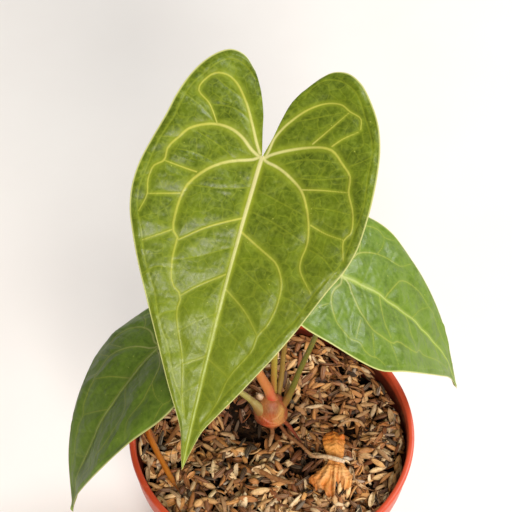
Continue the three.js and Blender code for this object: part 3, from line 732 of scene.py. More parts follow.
grow_stem("rolled_new_leaf", "shoot_sheath", inside_crown(1.6, -0.6, 10), shoot_skin, "sheath_skin", sides=72,
          flat=0.9, bump=rolled, swell=flared, skip=2, base="#c67c44", spots=ROLL_SPOTS)
grow_stem("side_bud_scale", "side_bud", inside_crown(-2.6, 1.2, 9), bud_skin, "sheath_skin", skip=0, count=40,
          swell=lambda t: 1.15 + 0 * t)
grow_stem("stump_of_old_petiole", "old_petiole", inside_crown(3, 4.0, 9), old_skin, "dry_tissue",
          bump=ribbed(9, 0.05, 5), skip=3, count=60, swell=lambda t: 0.76 + 0 * t)
grow_stem("dry_scale_leaf", "bract", None, scale_skin, "dry_tissue", flat=0.4, skip=0, count=40,
          bump=ribbed(7, 0.06, 2), swell=lambda t: 1.35 + 0 * t)

# %% [markdown]
# ## The shape of a blade
#
# A blade is a thin sheet that is bent in four simple ways: it droops along its length, folds a little at the
# midrib, may roll to one side, and its halves may curl down. Points on it are given as shares: s along the midrib
# from the petiole to the tip, and w across. The place and the length come from the CAD blade's box, because the
# whole shape grows in proportion to its length.

# %% Blade maths
# Outlines of half a blade, as shares of its length along and across: the edge of the sinus, then the margin.
FRONT_OUTER = {
    "sinus": [(0, 0), (-0.08, 0.022), (-0.136, 0.037), (-0.205, 0.067), (-0.26, 0.102)],
    "margin": [
        (-0.26, 0.102), (-0.298, 0.149), (-0.302, 0.192), (-0.281, 0.226), (-0.239, 0.26), (-0.183, 0.288),
        (-0.108, 0.31), (-0.03, 0.323), (0.054, 0.342), (0.13, 0.356), (0.199, 0.357), (0.265, 0.344),
        (0.323, 0.32), (0.405, 0.28), (0.515, 0.22), (0.632, 0.157), (0.75, 0.096), (0.836, 0.049),
        (0.883, 0.028), (0.95, 0.013), (1, 0),
    ],
}
FRONT_INNER = {
    "sinus": [(0, 0), (-0.073, 0.015), (-0.124, 0.023), (-0.19, 0.037), (-0.255, 0.07)],
    "margin": [
        (-0.255, 0.07), (-0.301, 0.103), (-0.329, 0.135), (-0.336, 0.18), (-0.312, 0.227), (-0.255, 0.277),
        (-0.19, 0.318), (-0.118, 0.345), (-0.045, 0.359), (0.039, 0.367), (0.113, 0.369), (0.211, 0.363),
        (0.29, 0.34), (0.348, 0.311), (0.416, 0.281), (0.49, 0.248), (0.586, 0.2), (0.632, 0.174),
        (0.725, 0.121), (0.807, 0.071), (0.868, 0.036), (0.931, 0.017), (1, 0),
    ],
}
SIDE_HALF = {
    "sinus": [(0, 0), (-0.08, 0.019), (-0.18, 0.047), (-0.26, 0.093)],
    "margin": [
        (-0.26, 0.093), (-0.312, 0.165), (-0.275, 0.25), (-0.16, 0.322), (-0.02, 0.352), (0.12, 0.37),
        (0.25, 0.358), (0.4, 0.287), (0.55, 0.212), (0.7, 0.13), (0.82, 0.06), (0.9, 0.026), (1, 0),
    ],
}
LEAVES = {
    "leaf_front": {"heading": -18.4, "droop": (26, 50), "roll": 8, "fold": 9, "width": (1, 1), "curl": 0,
                   "wave": 0.35, "wander": 0.0, "vein_scale": 1.0, "halves": (FRONT_OUTER, FRONT_INNER)},
    "leaf_right": {"heading": 86.6, "droop": (31.8, 77.2), "roll": -5.5, "fold": 7.1, "width": (1.02, 0.985),
                   "curl": 0.1, "wave": 0.4, "wander": 1.0, "vein_scale": 0.75, "halves": (SIDE_HALF, SIDE_HALF)},
    "leaf_left": {"heading": -41.7, "droop": (9.9, 83.9), "roll": -32.5, "fold": 21.1, "width": (1.14, 1.17),
                  "curl": 0.32, "wave": 0.4, "wander": 1.0, "vein_scale": 0.7, "halves": (SIDE_HALF, SIDE_HALF)},
}
# Breadth of the soft crease along the midrib, as a share of the length.
CREASE = 0.018


def blade_surface(leaf, s, w):
    """Points and upward normals of a blade of length one, for shares s along and w across it."""
    heading, roll, fold = (math.radians(leaf[key]) for key in ("heading", "roll", "fold"))
    start, end = (math.radians(angle) for angle in leaf["droop"])
    bend = end - start
    ahead = np.array([math.sin(heading), -math.cos(heading), 0.0])
    level = np.array([ahead[1], -ahead[0], 0.0])
    angle = (start + bend * s)[:, None]
    run = (np.sin(angle) - math.sin(start)) / bend
    rise = (np.cos(angle) - math.cos(start)) / bend
    above = np.sin(angle) * ahead + np.cos(angle) * UP
    across = math.cos(roll) * level + math.sin(roll) * above
    up = math.cos(roll) * above - math.sin(roll) * level
    out = w * np.where(w > 0, *leaf["width"])
    lift = (np.sqrt(out**2 + CREASE**2) - CREASE) * math.sin(fold) - leaf["curl"] * out**2 / 0.37
    points = run * ahead + rise * UP + (out * math.cos(fold))[:, None] * across + lift[:, None] * up
    return points, up


def half_grid(half, rays, rings):
    """Shares s and w over half a blade: rays fan out from the petiole, from the sinus edge to the midrib."""
    margin = smooth_curve(half["margin"], rays)
    sinus = smooth_curve(half["sinus"], rings)
    t = np.linspace(0, 1, rings)
    u = np.linspace(0, 1, rays)
    sinus_t = run_length(sinus)
    sinus_t /= sinus_t[-1]
    edge = np.column_stack([np.interp(t, sinus_t, sinus[:, k]) for k in (0, 1)])
    fade = np.maximum(0, 1 - u / 0.25) ** 2
    return t[None, :, None] * margin[:, None] + fade[:, None, None] * (edge - t[:, None] * margin[0])[None]


def placed(node, leaf):
    """Length in millimetres and attachment point of a blade, from the box of its CAD node."""
    low, high = cad_box(node)
    rim = np.vstack([half_grid(half, 120, 20).reshape(-1, 2) * [1, side]
                     for half, side in zip(leaf["halves"], (1, -1))])
    length = 100.0
    for _ in range(4):
        points, up = blade_surface(leaf, rim[:, 0], rim[:, 1])
        both = np.vstack([points * length + 0.4 * up, points * length - 0.4 * up])
        length *= np.linalg.norm(high - low) / np.linalg.norm(np.ptp(both, axis=0))
    at = (low + high) / 2 - (both.max(axis=0) + both.min(axis=0)) / 2
    return length, at


for node, leaf in LEAVES.items():
    leaf["length"], leaf["at"] = placed(node, leaf)
    print(f"{node}: {leaf['length']:.1f} mm long, attached at {leaf['at'].round(1)}")

# %% [markdown]
# ## The veins
#
# The veins are what makes this leaf: a pale midrib, strong side veins that leave the petiole together and swing
# round parallel to the margin, and thinner ones that cross to meet them. Each vein is a smooth line through a few
# stops on the flat blade with a width in millimetres at both ends. What the mesh stores is each point's distance
# from its nearest vein, counted in half widths: a distance stays smooth between mesh points, so the edge of a
# vein comes out clean even where it is thinner than the mesh.

# %% Vein layout
# Side of the blade (1 or -1), width at the start and end in millimetres, stops as shares along and across.
VEINS = [
    (1, 1.5, 0.7, [(-0.01, 0.01), (-0.04, 0.03), (-0.1, 0.065), (-0.16, 0.105), (-0.2, 0.145), (-0.215, 0.18),
                   (-0.205, 0.22), (-0.17, 0.245), (-0.14, 0.25), (-0.11, 0.205), (-0.06, 0.165)]),
    (1, 1.7, 0.7, [(0, 0.01), (-0.015, 0.04), (-0.04, 0.075), (-0.055, 0.115), (-0.055, 0.165), (-0.04, 0.205),
                   (-0.015, 0.24), (0.015, 0.26), (0.06, 0.285), (0.1, 0.285), (0.125, 0.31), (0.17, 0.315),
                   (0.21, 0.305), (0.265, 0.315)]),
    (1, 1.6, 0.6, [(0, 0.005), (0.015, 0.025), (0.035, 0.075), (0.06, 0.12), (0.11, 0.17), (0.15, 0.195),
                   (0.19, 0.205), (0.255, 0.205), (0.29, 0.2), (0.31, 0.18), (0.35, 0.18), (0.445, 0.16),
                   (0.475, 0.125), (0.52, 0.125), (0.58, 0.105), (0.67, 0.07), (0.765, 0.05), (0.82, 0.035)]),
    (1, 0.8, 0.7, [(0.105, 0.18), (0.1, 0.285)]),
    (1, 0.8, 0.7, [(0.18, 0.21), (0.21, 0.305)]),
    (1, 0.8, 0.7, [(0.29, 0.2), (0.345, 0.28)]),
    (1, 1.0, 0.8, [(0.2, 0.005), (0.255, 0.1), (0.315, 0.175)]),
    (1, 0.9, 0.7, [(0.38, 0.01), (0.44, 0.09), (0.475, 0.125)]),
    (1, 0.8, 0.6, [(0.635, 0.005), (0.66, 0.045), (0.675, 0.07)]),
    (-1, 1.4, 0.7, [(0, 0.01), (-0.03, 0.015), (-0.07, 0.02), (-0.13, 0.05), (-0.185, 0.095), (-0.22, 0.145),
                    (-0.225, 0.19), (-0.21, 0.22), (-0.195, 0.26), (-0.16, 0.27)]),
    (-1, 1.6, 0.7, [(0, 0.01), (-0.01, 0.02), (-0.04, 0.07), (-0.065, 0.13), (-0.075, 0.18), (-0.07, 0.21),
                    (-0.04, 0.245), (-0.005, 0.28), (0.045, 0.29), (0.105, 0.32), (0.165, 0.33), (0.19, 0.315),
                    (0.25, 0.33)]),
    (-1, 1.6, 0.7, [(0, 0.005), (0.01, 0.015), (0.02, 0.055), (0.04, 0.1), (0.07, 0.145), (0.115, 0.175),
                    (0.175, 0.2), (0.23, 0.21), (0.28, 0.205), (0.31, 0.21), (0.37, 0.26)]),
    (-1, 0.8, 0.6, [(-0.08, 0.14), (-0.14, 0.18), (-0.205, 0.22)]),
    (-1, 0.8, 0.6, [(-0.085, 0.2), (-0.12, 0.23), (-0.15, 0.265)]),
    (-1, 0.8, 0.6, [(0.07, 0.145), (0.055, 0.22), (0.045, 0.29)]),
    (-1, 0.8, 0.6, [(0.17, 0.205), (0.185, 0.26), (0.19, 0.315)]),
    (-1, 1.1, 0.5, [(0.24, 0), (0.275, 0.07), (0.3, 0.12), (0.31, 0.135), (0.36, 0.165), (0.43, 0.17),
                    (0.5, 0.155), (0.535, 0.135), (0.58, 0.13), (0.68, 0.08), (0.77, 0.06), (0.825, 0.04)]),
    (-1, 0.9, 0.7, [(0.42, 0), (0.475, 0.08), (0.535, 0.135)]),
    (-1, 0.8, 0.6, [(0.64, 0), (0.68, 0.08)]),
]
# Finer veins between the strong ones.
THREADS = {
    1: [
        [(-0.1, 0.065), (-0.12, 0.13), (-0.11, 0.2)], [(-0.16, 0.105), (-0.175, 0.16), (-0.2, 0.22)],
        [(0.035, 0.075), (0.005, 0.14), (-0.02, 0.235)], [(0.06, 0.12), (0.05, 0.2), (0.06, 0.285)],
        [(0.1, 0.005), (0.13, 0.09), (0.15, 0.195)], [(0.29, 0.005), (0.345, 0.1), (0.38, 0.175)],
        [(0.5, 0.005), (0.54, 0.06), (0.58, 0.105)], [(0.72, 0.003), (0.745, 0.03), (0.765, 0.05)],
        [(0.4, 0.17), (0.41, 0.22), (0.44, 0.255)], [(0.52, 0.125), (0.54, 0.165), (0.57, 0.185)],
        [(0.67, 0.07), (0.69, 0.09), (0.71, 0.105)], [(-0.055, 0.165), (-0.09, 0.22), (-0.12, 0.3)],
        [(0.02, 0.265), (0.03, 0.295), (0.04, 0.33)], [(0.15, 0.315), (0.16, 0.33), (0.18, 0.35)],
    ],
    -1: [
        [(0.02, 0.055), (-0.02, 0.12), (-0.04, 0.24)], [(0.04, 0.1), (0.03, 0.18), (0, 0.275)],
        [(0.12, 0.18), (0.11, 0.25), (0.11, 0.315)], [(0.1, 0), (0.12, 0.08), (0.15, 0.19)],
        [(0.17, 0), (0.19, 0.09), (0.23, 0.205)], [(0.33, 0), (0.38, 0.09), (0.42, 0.165)],
        [(0.52, 0), (0.56, 0.07), (0.6, 0.12)], [(0.74, 0), (0.76, 0.03), (0.78, 0.055)],
        [(0.4, 0.165), (0.41, 0.22), (0.44, 0.26)], [(0.52, 0.145), (0.54, 0.18), (0.57, 0.205)],
        [(0.63, 0.1), (0.65, 0.125), (0.68, 0.14)], [(0.24, 0.21), (0.26, 0.27), (0.3, 0.32)],
        [(-0.02, 0.24), (-0.05, 0.29), (-0.09, 0.34)], [(-0.13, 0.05), (-0.16, 0.12), (-0.2, 0.2)],
    ],
}
# Each half has a thin line that runs just inside the margin and ties the vein ends together.
RIM_LINE = 0.93
# Width of the midrib at the petiole and at the tip, in millimetres.
MIDRIB = (1.7, 0.5)


def nearest_line(points, lines, cut_off=8.0):
    """Distance from each point to its nearest line in half widths, and that distance in millimetres."""
    ratio = np.full(len(points), cut_off)
    plain = np.full(len(points), 99.0)
    for line, halves in lines:
        low = line.min(axis=0) - cut_off * halves.max()
        high = line.max(axis=0) + cut_off * halves.max()
        near = np.flatnonzero(((points > low) & (points < high)).all(axis=1))
        if not len(near):
            continue
        p = points[near]
        for a, b, ha, hb in zip(line, line[1:], halves, halves[1:]):
            run = b - a
            t = np.clip(((p - a) @ run) / (run @ run), 0, 1)
            gap = np.linalg.norm(p - a - t[:, None] * run, axis=1)
            ratio[near] = np.minimum(ratio[near], gap / (ha + (hb - ha) * t))
            plain[near] = np.minimum(plain[near], gap)
    return ratio, plain


def vein_lines(leaf, seed):
    """Strong and thin vein lines in flat millimetres for a blade, each a little displaced by its own wander."""
    length, wander = leaf["length"], leaf["wander"]
    rng = np.random.default_rng(seed)
    strong, thin = [], []
    for side, start, end, stops in VEINS:
        stops = np.array(stops, float)
        stops[1:] += wander * rng.normal(size=2) * [0.012, 0.006]
        line = smooth_curve(stops, 40) * [1, side] * length
        strong.append((line, np.linspace(start * 0.85, end * 0.72, 40) * leaf["vein_scale"] / 2))
    for side, threads in THREADS.items():
        for stops in threads:
            stops = np.array(stops, float) + wander * rng.normal(size=2) * [0.01, 0.003]
            thin.append((smooth_curve(stops, 14) * [1, side] * length, np.linspace(0.5, 0.36, 14) / 2))
    for half, side in zip(leaf["halves"], (1, -1)):
        rim = smooth_curve(half["margin"], 90) * RIM_LINE + np.array([0.01, 0.0])
        rim = rim[:84] * [1, side] * length
        rim[:, 1] += 0.35 * np.sin(np.arange(84) * 0.55 + seed)
        thin.append((rim, np.full(84, 0.24)))
    midrib = [(np.array([[0.0, 0.0], [0.5, 0.0], [0.985, 0.0]]) * length,
               np.array([MIDRIB[0], MIDRIB[0] * 0.62, MIDRIB[1]]) * leaf["vein_scale"] / 2)]
    return midrib, strong, thin


# %% [markdown]
# ## Blade meshes
#
# A blade is a closed slab less than half a millimetre thick. Its top is quilted: the tissue between the veins puffs
# up slightly and the veins lie in the valleys, while underneath the same veins stand out as ribs. The underside has
# half as many points each way, because nothing on it is as fine.

# %% Build the blades
THICKNESS = 0.45
BLADE_ATTRIBUTES = ("from_vein", "from_midrib", "from_thread", "from_edge", "under", "flat_s", "flat_w")


def blade_relief(leaf, flat, under, seed):
    """Everything the finish and the relief need at points given in flat millimetres."""
    midrib, strong, thin = vein_lines(leaf, seed)
    from_midrib, midrib_gap = nearest_line(flat, midrib)
    from_vein, vein_gap = nearest_line(flat, strong)
    from_thread, thread_gap = nearest_line(flat, thin)
    gap = np.minimum(np.minimum(vein_gap, midrib_gap), 12.0)
    lumps = uneven(flat, 24, seed + 5, 2)
    quilt = uneven(flat, 5, seed + 6, 2)
    cells = 1 - bell(gap, 2.6)
    seams = bell(thread_gap, 0.8)
    if under:
        height = 0.5 * cells - 0.2 * seams + 0.5 * lumps
        height -= 0.42 * bell(from_vein, 1.6) + 0.75 * bell(from_midrib, 1.5)
    else:
        height = 0.55 * cells - 0.15 * seams + 0.5 * lumps + 0.08 * quilt * cells
        height += 0.1 * bell(from_vein, 0.9) + 0.22 * bell(from_midrib, 1.0)
    return from_midrib, from_vein, from_thread, height


def welded(piece):
    """Joins points that lie on each other, so that the slab closes along its midrib, and turns the faces outwards."""
    work = bmesh.new()
    work.from_mesh(piece.data)
    bmesh.ops.remove_doubles(work, verts=work.verts, dist=0.000001)
    bmesh.ops.dissolve_degenerate(work, edges=work.edges, dist=0.000001)
    bmesh.ops.recalc_face_normals(work, faces=work.faces)
    open_edges = sum(not edge.is_manifold for edge in work.edges)
    work.to_mesh(piece.data)
    work.free()
    piece.data.shade_smooth()
    print(f"{piece.name}: {len(piece.data.vertices)} points, {open_edges} open edges")
    return piece


def build_blade(name, leaf, rays, rings, seed, material):
    """One blade: for each half a top and a coarser underside, closed along the rim and then welded."""
    length, at = leaf["length"], leaf["at"]
    points, faces, rim = [], [], []
    stored = []
    start = 0
    for half, side in zip(leaf["halves"], (1, -1)):
        layers = []
        for under, step in ((False, 1), (True, 2)):
            grid = half_grid(half, rays, rings)[::step, ::step]
            rows, columns = grid.shape[:2]
            share = grid.reshape(-1, 2) * [1, side]
            flat = share * length
            margin = np.linalg.norm(grid[:, -1:] - grid, axis=2).reshape(-1) * length
            from_midrib, from_vein, from_thread, height = blade_relief(leaf, flat, under, seed)
            calm = smooth_step(0, 3, margin)
            shape, up = blade_surface(leaf, share[:, 0], share[:, 1])
            wave = leaf["wave"] * uneven(flat, 40, seed + 9, 1) * smooth_step(0.12, 0.36, np.abs(share[:, 1]))
            thick = THICKNESS * (0.35 + 0.65 * calm)
            offset = height * calm + wave + (-thick / 2 if under else thick / 2)
            points.append(shape * length + at + offset[:, None] * up)
            side_of = np.full(len(flat), float(under))
            stored.append(np.column_stack([from_vein, from_midrib, from_thread, margin, side_of, flat]))
            quads = grid_faces(rows, columns, start=start)
            flip = (side > 0) != under
            faces.append(quads[:, ::-1] if flip else quads)
            layers.append((start, rows, columns))
            start += rows * columns
        above, below = ([first + i for i in grid_outline(r, c)[: r + c - 1]] for first, r, c in layers)
        for k in range(len(below) - 1):
            a, b, c = above[2 * k : 2 * k + 3]
            p, q = below[k : k + 2]
            rim += [[a, b, p], [b, q, p], [b, c, q]]
    quads = np.vstack(faces).tolist() + rim
    attributes = dict(zip(BLADE_ATTRIBUTES, np.vstack(stored).T))
    piece = mesh_piece(name, np.vstack(points), quads, attributes, material)
    return welded(piece)


FULL = {"leaf_front": (381, 281), "leaf_right": (261, 201), "leaf_left": (261, 201)}


# %% [markdown]
# ## Leaf tissue
#
# A leaf is a waxed, translucent sheet: part of the light is scattered back by the green tissue and part passes
# through, which is why a blade seen against the lamp turns yellow-green. The material mixes a principled surface
# with a translucent one. The tissue colour varies in soft patches and a fine 2 mm mottle; veins, their pale
# borders, the thread-like network and the cream margin, partly real and partly a painted highlight on the lit edge,
# come from the stored distances; and the underside is paler and duller because it has no thick wax.

# %% Leaf material
def leaf_skin(name, tones, fleck, border, rib, vein_strength):
    """Waxed translucent leaf: tissue tones from dark to light, flecks, tissue beside veins, midrib, vein strength."""
    skin = new_material(name)
    softer = {"interpolation_type": "SMOOTHERSTEP"}
    product, larger = {"operation": "MULTIPLY"}, {"operation": "MAXIMUM"}
    from_vein, from_midrib, from_thread, from_edge, under, flat_s, flat_w = (
        add(skin, "Attribute", {"attribute_name": label}, "Fac") for label in BLADE_ATTRIBUTES
    )
    flat = add(skin, "CombineXYZ", X=flat_s, Y=flat_w, Z=under)

    # Broad patches of 12 mm, a mottle of about 2 mm, and grain of 0.4 mm below it.
    patches = add(skin, "TexNoise", Vector=flat, Scale=0.085, Detail=4, Roughness=0.6)
    mottle = add(skin, "TexNoise", Vector=flat, Scale=0.5, Detail=6, Roughness=0.62)
    grain = add(skin, "TexNoise", Vector=flat, Scale=2.4, Detail=3)
    tissue = add(skin, "ValToRGB", {"stops": list(zip((0.36, 0.5, 0.64), tones))}, Fac=patches)
    fleck_mask = add(skin, "MapRange", SOFT, Value=mottle, From_Min=0.34, From_Max=0.7, To_Max=0.6)
    flecked = add(skin, "Mix", COLOUR, Factor=fleck_mask, _6=tissue, _7=fleck)
    paling = add(skin, "MapRange", SOFT, Value=flat_s, From_Min=12, From_Max=85, To_Max=0.5)
    mottled = add(skin, "Mix", COLOUR, Factor=paling, _6=flecked, _7=fleck)

    # The net of the finest veins has meshes of about 5 mm, and finer ones of 1.6 mm inside them.
    drift = add(skin, "TexNoise", None, "Color", Vector=flat, Scale=0.22, Detail=0)
    drift_mm = add(skin, "VectorMath", {"operation": "SCALE"}, _0=drift, _3=3.0)
    drifted = add(skin, "VectorMath", {"operation": "ADD"}, _0=flat, _1=drift_mm)
    meshes = add(skin, "TexVoronoi", {"feature": "DISTANCE_TO_EDGE"}, Vector=drifted, Scale=0.19)
    small_meshes = add(skin, "TexVoronoi", {"feature": "DISTANCE_TO_EDGE"}, Vector=drifted, Scale=0.62)
    web = add(skin, "MapRange", SOFT, Value=meshes, From_Max=0.07, To_Min=0.3 * vein_strength, To_Max=0.0)
    fine_web = add(skin, "MapRange", SOFT, Value=small_meshes, From_Max=0.16, To_Min=0.08 * vein_strength, To_Max=0.0)

    # Veins: a narrow pale core and a wide soft border, both weaker far from the petiole.
    reach = add(skin, "VectorMath", {"operation": "LENGTH"}, "Value", _0=flat)
    fading = add(skin, "MapRange", Value=reach, From_Min=6, From_Max=80, To_Min=1.0, To_Max=0.5)
    core = add(skin, "MapRange", SOFT, Value=from_vein, From_Min=0.2, From_Max=1.35,
               To_Min=0.95 * vein_strength, To_Max=0.0)
    vein_core = add(skin, "Math", product, _0=core, _1=fading)
    wide = add(skin, "MapRange", softer, Value=from_vein, From_Min=0.6, From_Max=6.5,
               To_Min=0.62 * vein_strength, To_Max=0.0)
    vein_halo = add(skin, "Math", product, _0=wide, _1=fading)
    midrib_core = add(skin, "MapRange", SOFT, Value=from_midrib, From_Min=0.45, From_Max=1.25,
                      To_Min=0.4 + 0.6 * vein_strength, To_Max=0.0)
    midrib_halo = add(skin, "MapRange", softer, Value=from_midrib, From_Min=0.8, From_Max=4.4, To_Min=0.75, To_Max=0.0)
    thread = add(skin, "MapRange", SOFT, Value=from_thread, From_Min=0.3, From_Max=2.4,
                 To_Min=0.42 * vein_strength, To_Max=0.0)
    halo = add(skin, "Math", larger, _0=vein_halo, _1=midrib_halo)
    net = add(skin, "Math", larger, _0=thread, _1=add(skin, "Math", larger, _0=web, _1=fine_web))
    beside = add(skin, "Mix", COLOUR, Factor=add(skin, "Math", larger, _0=halo, _1=net), _6=mottled, _7=border)
    vein_stops = [(0.04, "#f1eaa2"), (0.22, "#dcd860"), (0.75, "#b9c13a")]
    vein_share = add(skin, "MapRange", Value=reach, From_Max=110)
    vein_colour = add(skin, "ValToRGB", {"stops": vein_stops}, Fac=vein_share)
    veined = add(skin, "Mix", COLOUR, Factor=vein_core, _6=beside, _7=vein_colour)
    rib_colour = add(skin, "ValToRGB", {"stops": [(0.1, rib), (0.7, "#bccb68")]}, Fac=vein_share)
    midribbed = add(skin, "Mix", COLOUR, Factor=midrib_core, _6=veined, _7=rib_colour)

    # The margin is a cream line, partly real and partly a painted highlight along the lit edge, and a few pale
    # mineral dots lie on the wax.
    edge = add(skin, "MapRange", SOFT, Value=from_edge, From_Min=0.2, From_Max=0.8, To_Min=0.85, To_Max=0.0)
    cream_margin_and_highlight = add(skin, "Mix", COLOUR, Factor=edge, _6=midribbed, _7="#e9e99a")
    dots = add(skin, "TexVoronoi", Vector=flat, Scale=0.2)
    dot_mask = add(skin, "MapRange", SOFT, Value=dots, From_Min=0.035, From_Max=0.055, To_Min=0.7, To_Max=0.0)
    top = add(skin, "Mix", COLOUR, Factor=dot_mask, _6=cream_margin_and_highlight, _7="#c9cf62")

    # The underside is paler and dull, with the same veins standing out.
    below = add(skin, "Mix", COLOUR, Factor=vein_core, _6="#8c9d52", _7="#bcc57c")
    rib = add(skin, "MapRange", SOFT, Value=from_midrib, From_Min=0.7, From_Max=1.6, To_Min=0.9, To_Max=0.0)
    ribbed_below = add(skin, "Mix", COLOUR, Factor=rib, _6=below, _7="#d5d796")
    two_sided = add(skin, "Mix", COLOUR, Factor=under, _6=top, _7=ribbed_below)
    gloss = add(skin, "MapRange", SOFT, Value=mottle, From_Min=0.3, From_Max=0.7, To_Min=0.3, To_Max=0.46)
    dullness = add(skin, "Math", product, _0=under, _1=0.2)
    roughness = add(skin, "Math", {"operation": "ADD"}, _0=gloss, _1=dullness)
    coarse = add(skin, "Bump", Height=mottle, Strength=0.3, Distance=0.0005)
    relief = add(skin, "Bump", Height=grain, Strength=0.2, Distance=0.0002, Normal=coarse)
    surface = add(skin, "BsdfPrincipled", Base_Color=two_sided, Roughness=roughness, IOR=1.45, Normal=relief)
    glow_colour = add(skin, "Mix", TINT, Factor=1.0, _6=two_sided, _7="#f6ff88")
    glow = add(skin, "BsdfTranslucent", Color=glow_colour, Normal=relief)
    return finish_material(skin, add(skin, "MixShader", _0=0.3, _1=surface, _2=glow))


mature_leaf = leaf_skin("waxed_mature_leaf", ("#4a5e08", "#5c700b", "#6f8310"), "#8b9d28", "#a9b52e", "#f3ebaa", 0.9)
young_leaf = leaf_skin("waxed_young_leaf", ("#557119", "#63821f", "#729027"), "#839e38", "#a2b844", "#cfd984", 0.36)
LEAF_SKINS = {"leaf_front": mature_leaf, "leaf_right": young_leaf, "leaf_left": young_leaf}

# %% Grow the blades
for seed, (node, leaf) in enumerate(LEAVES.items(), 11):
    rays, rings = FULL[node]
    blade = build_blade(f"{node.removeprefix('leaf_')}_blade", leaf, rays, rings, seed, LEAF_SKINS[node])
    belongs(blade, "leaf_blade", node)

# %% [markdown]
# ## The bed of compost
#
# Under the rice hulls lies dark, crumbly compost. It is a closed core that fills the pot to a few millimetres below
# the surface; only its darkness shows, in the gaps. Its top is roughened in two sizes: slow waves and crumbs.

# %% Compost core
MIX_REACH = lip_in - 0.3
HULL_DEPTH = 4.2


def mix_level(x, y):
    """Height of the finished mix surface: gentle waves, and lower next to the wall."""
    waves = np.sin(0.11 * x + 1) * np.cos(0.13 * y) + 0.6 * np.sin(0.05 * x - 0.19 * y)
    bank = 4 * np.maximum(0, np.hypot(x, y) / MIX_REACH - 0.75) + 0.6
    bank = bank * (1 - 1.3 * smooth_step(10, 50, x + 0.5 * y))
    return GROUND + 0.6 * waves - bank


def compost_core(rings=110, sides=300):
    """Rings from the middle of the rough top out to the wall, and then down to the floor of the pot."""
    angle = turn_in(sides)
    reach = wall_radius(85) - WALL - 0.5
    radius = np.repeat(reach * (np.arange(1, rings + 1) / rings), sides)
    turn = np.tile(angle, rings)
    x, y = radius * np.cos(turn), radius * np.sin(turn)
    flat = np.column_stack([x, y])
    crumbs = 0.55 * uneven(flat, 7, 21) + 0.5 * np.abs(uneven(flat, 2.6, 22, 2))
    top = np.column_stack([x, y, mix_level(x, y) - HULL_DEPTH + crumbs])
    walls = []
    for z in np.linspace(80, FLOOR + 0.3, 6):
        r = wall_radius(z) - WALL - 0.5
        walls.append(np.column_stack([r * np.cos(angle), r * np.sin(angle), np.full(sides, z)]))
    points = np.vstack([top, *walls, [0, 0, top[0][2]], [0, 0, FLOOR + 0.3]])
    return points, ringed_faces(rings + len(walls), sides, flip=True)


compost = new_material("damp_peat_compost")
place = add(compost, "TexCoord", None, "Object")
clods = add(compost, "TexNoise", Vector=place, Scale=420, Detail=8, Roughness=0.7)
soil = add(compost, "ValToRGB", {"stops": [(0.35, "#0c0602"), (0.52, "#1e1107"), (0.68, "#442a12")]}, Fac=clods)
soil_bump = add(compost, "Bump", Height=clods, Strength=0.9, Distance=0.001)
damp = add(compost, "BsdfPrincipled", Base_Color=soil, Roughness=0.9, Specular_IOR_Level=0.15, Normal=soil_bump)
finish_material(compost, damp)
belongs(mesh_piece("compost_core", *compost_core(), material=compost), "rice_hull_mix", "potting_mix")

# %% [markdown]
# ## Rice hulls, dropped one by one
#
# A rice hull is a boat about 8 mm long and 2.4 mm wide, ribbed lengthwise and open on one side; some are still
# closed like a spindle, and many are broken. Scattering them with random tilts would look like noise, because real
# hulls lie on each other. So each is dropped on a height map: it takes the slope of what is under it, settles until
# it touches, and then raises the map for the next one. A second map, the ceiling, keeps the hulls below the roots
# and leaves that lie on the surface and out of the crown.


# %% Height and ceiling maps
# The maps are square, with cells of half a millimetre.
CELL = 0.5
MAP_SIZE = 242
rng = np.random.default_rng(7)
cell_middles = (np.arange(MAP_SIZE) - MAP_SIZE / 2 + 0.5) * CELL
grid_x, grid_y = np.meshgrid(cell_middles, cell_middles, indexing="ij")
height_map = mix_level(grid_x, grid_y) - HULL_DEPTH + 0.7
ceiling = np.full((MAP_SIZE, MAP_SIZE), 1e3)
# Hollows where water has washed the mix away: middle, reach and depth in millimetres.
HOLLOWS = [((-12.5, 12.5), 8.5, 4.4), ((-6.0, 2.5), 5.0, 2.8), ((13.0, -5.0), 6.0, 3.0), ((12.5, -14.0), 5.5, 2.6),
           ((32.5, 6.0), 3.5, 2.4), ((3.0, 22.0), 9.0, 2.4), ((24.0, 14.0), 4.0, 1.8), ((-28.0, 0.0), 5.0, 1.8)]


def hollow(x, y):
    """How deep the mix is washed out at a point."""
    depth = 0 * x
    for (middle_x, middle_y), reach, deep in HOLLOWS:
        depth = depth + deep * np.exp(-((x - middle_x) ** 2 + (y - middle_y) ** 2) / reach**2)
    return depth


height_map -= hollow(grid_x, grid_y)
# Hulls by the wall lie on the ledge inside the collar.
on_ledge = np.hypot(grid_x, grid_y) > UNDER_COLLAR - WALL - 0.6
height_map = np.where(on_ledge, np.maximum(height_map, COLLAR + WALL + 1.4), height_map)


def cells(points):
    """Map cells under some points."""
    at = (points[..., :2] / CELL + MAP_SIZE / 2).astype(int)
    at = np.clip(at, 0, MAP_SIZE - 1)
    return at[..., 0], at[..., 1]


LITTER = ("root_long", "root_red", "root_stub", "root_arch", "dry_leaf", "dry_stick", "dry_stem")
for node in (*LITTER, "side_bud", "petiole_left"):
    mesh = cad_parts[node].data
    corners = cad_points(node)
    mesh.calc_loop_triangles()
    triangles = corners[[list(t.vertices) for t in mesh.loop_triangles]]
    for a in np.linspace(0, 1, 9):
        for b in np.linspace(0, 1 - a, 9):
            spots = triangles[:, 0] * a + triangles[:, 1] * b + triangles[:, 2] * (1 - a - b)
            np.minimum.at(ceiling, cells(spots), spots[:, 2])
np.minimum.at(ceiling, cells(crown_points), crown_points[:, 2])
print("cells under litter:", int((ceiling < 1e3).sum()))

# %% [markdown]
# Three forms are enough: the open boat, the closed spindle and the broken shell. Each is a small closed mesh of
# unit size that stores places along and across it, for the ribs and the darker tips.


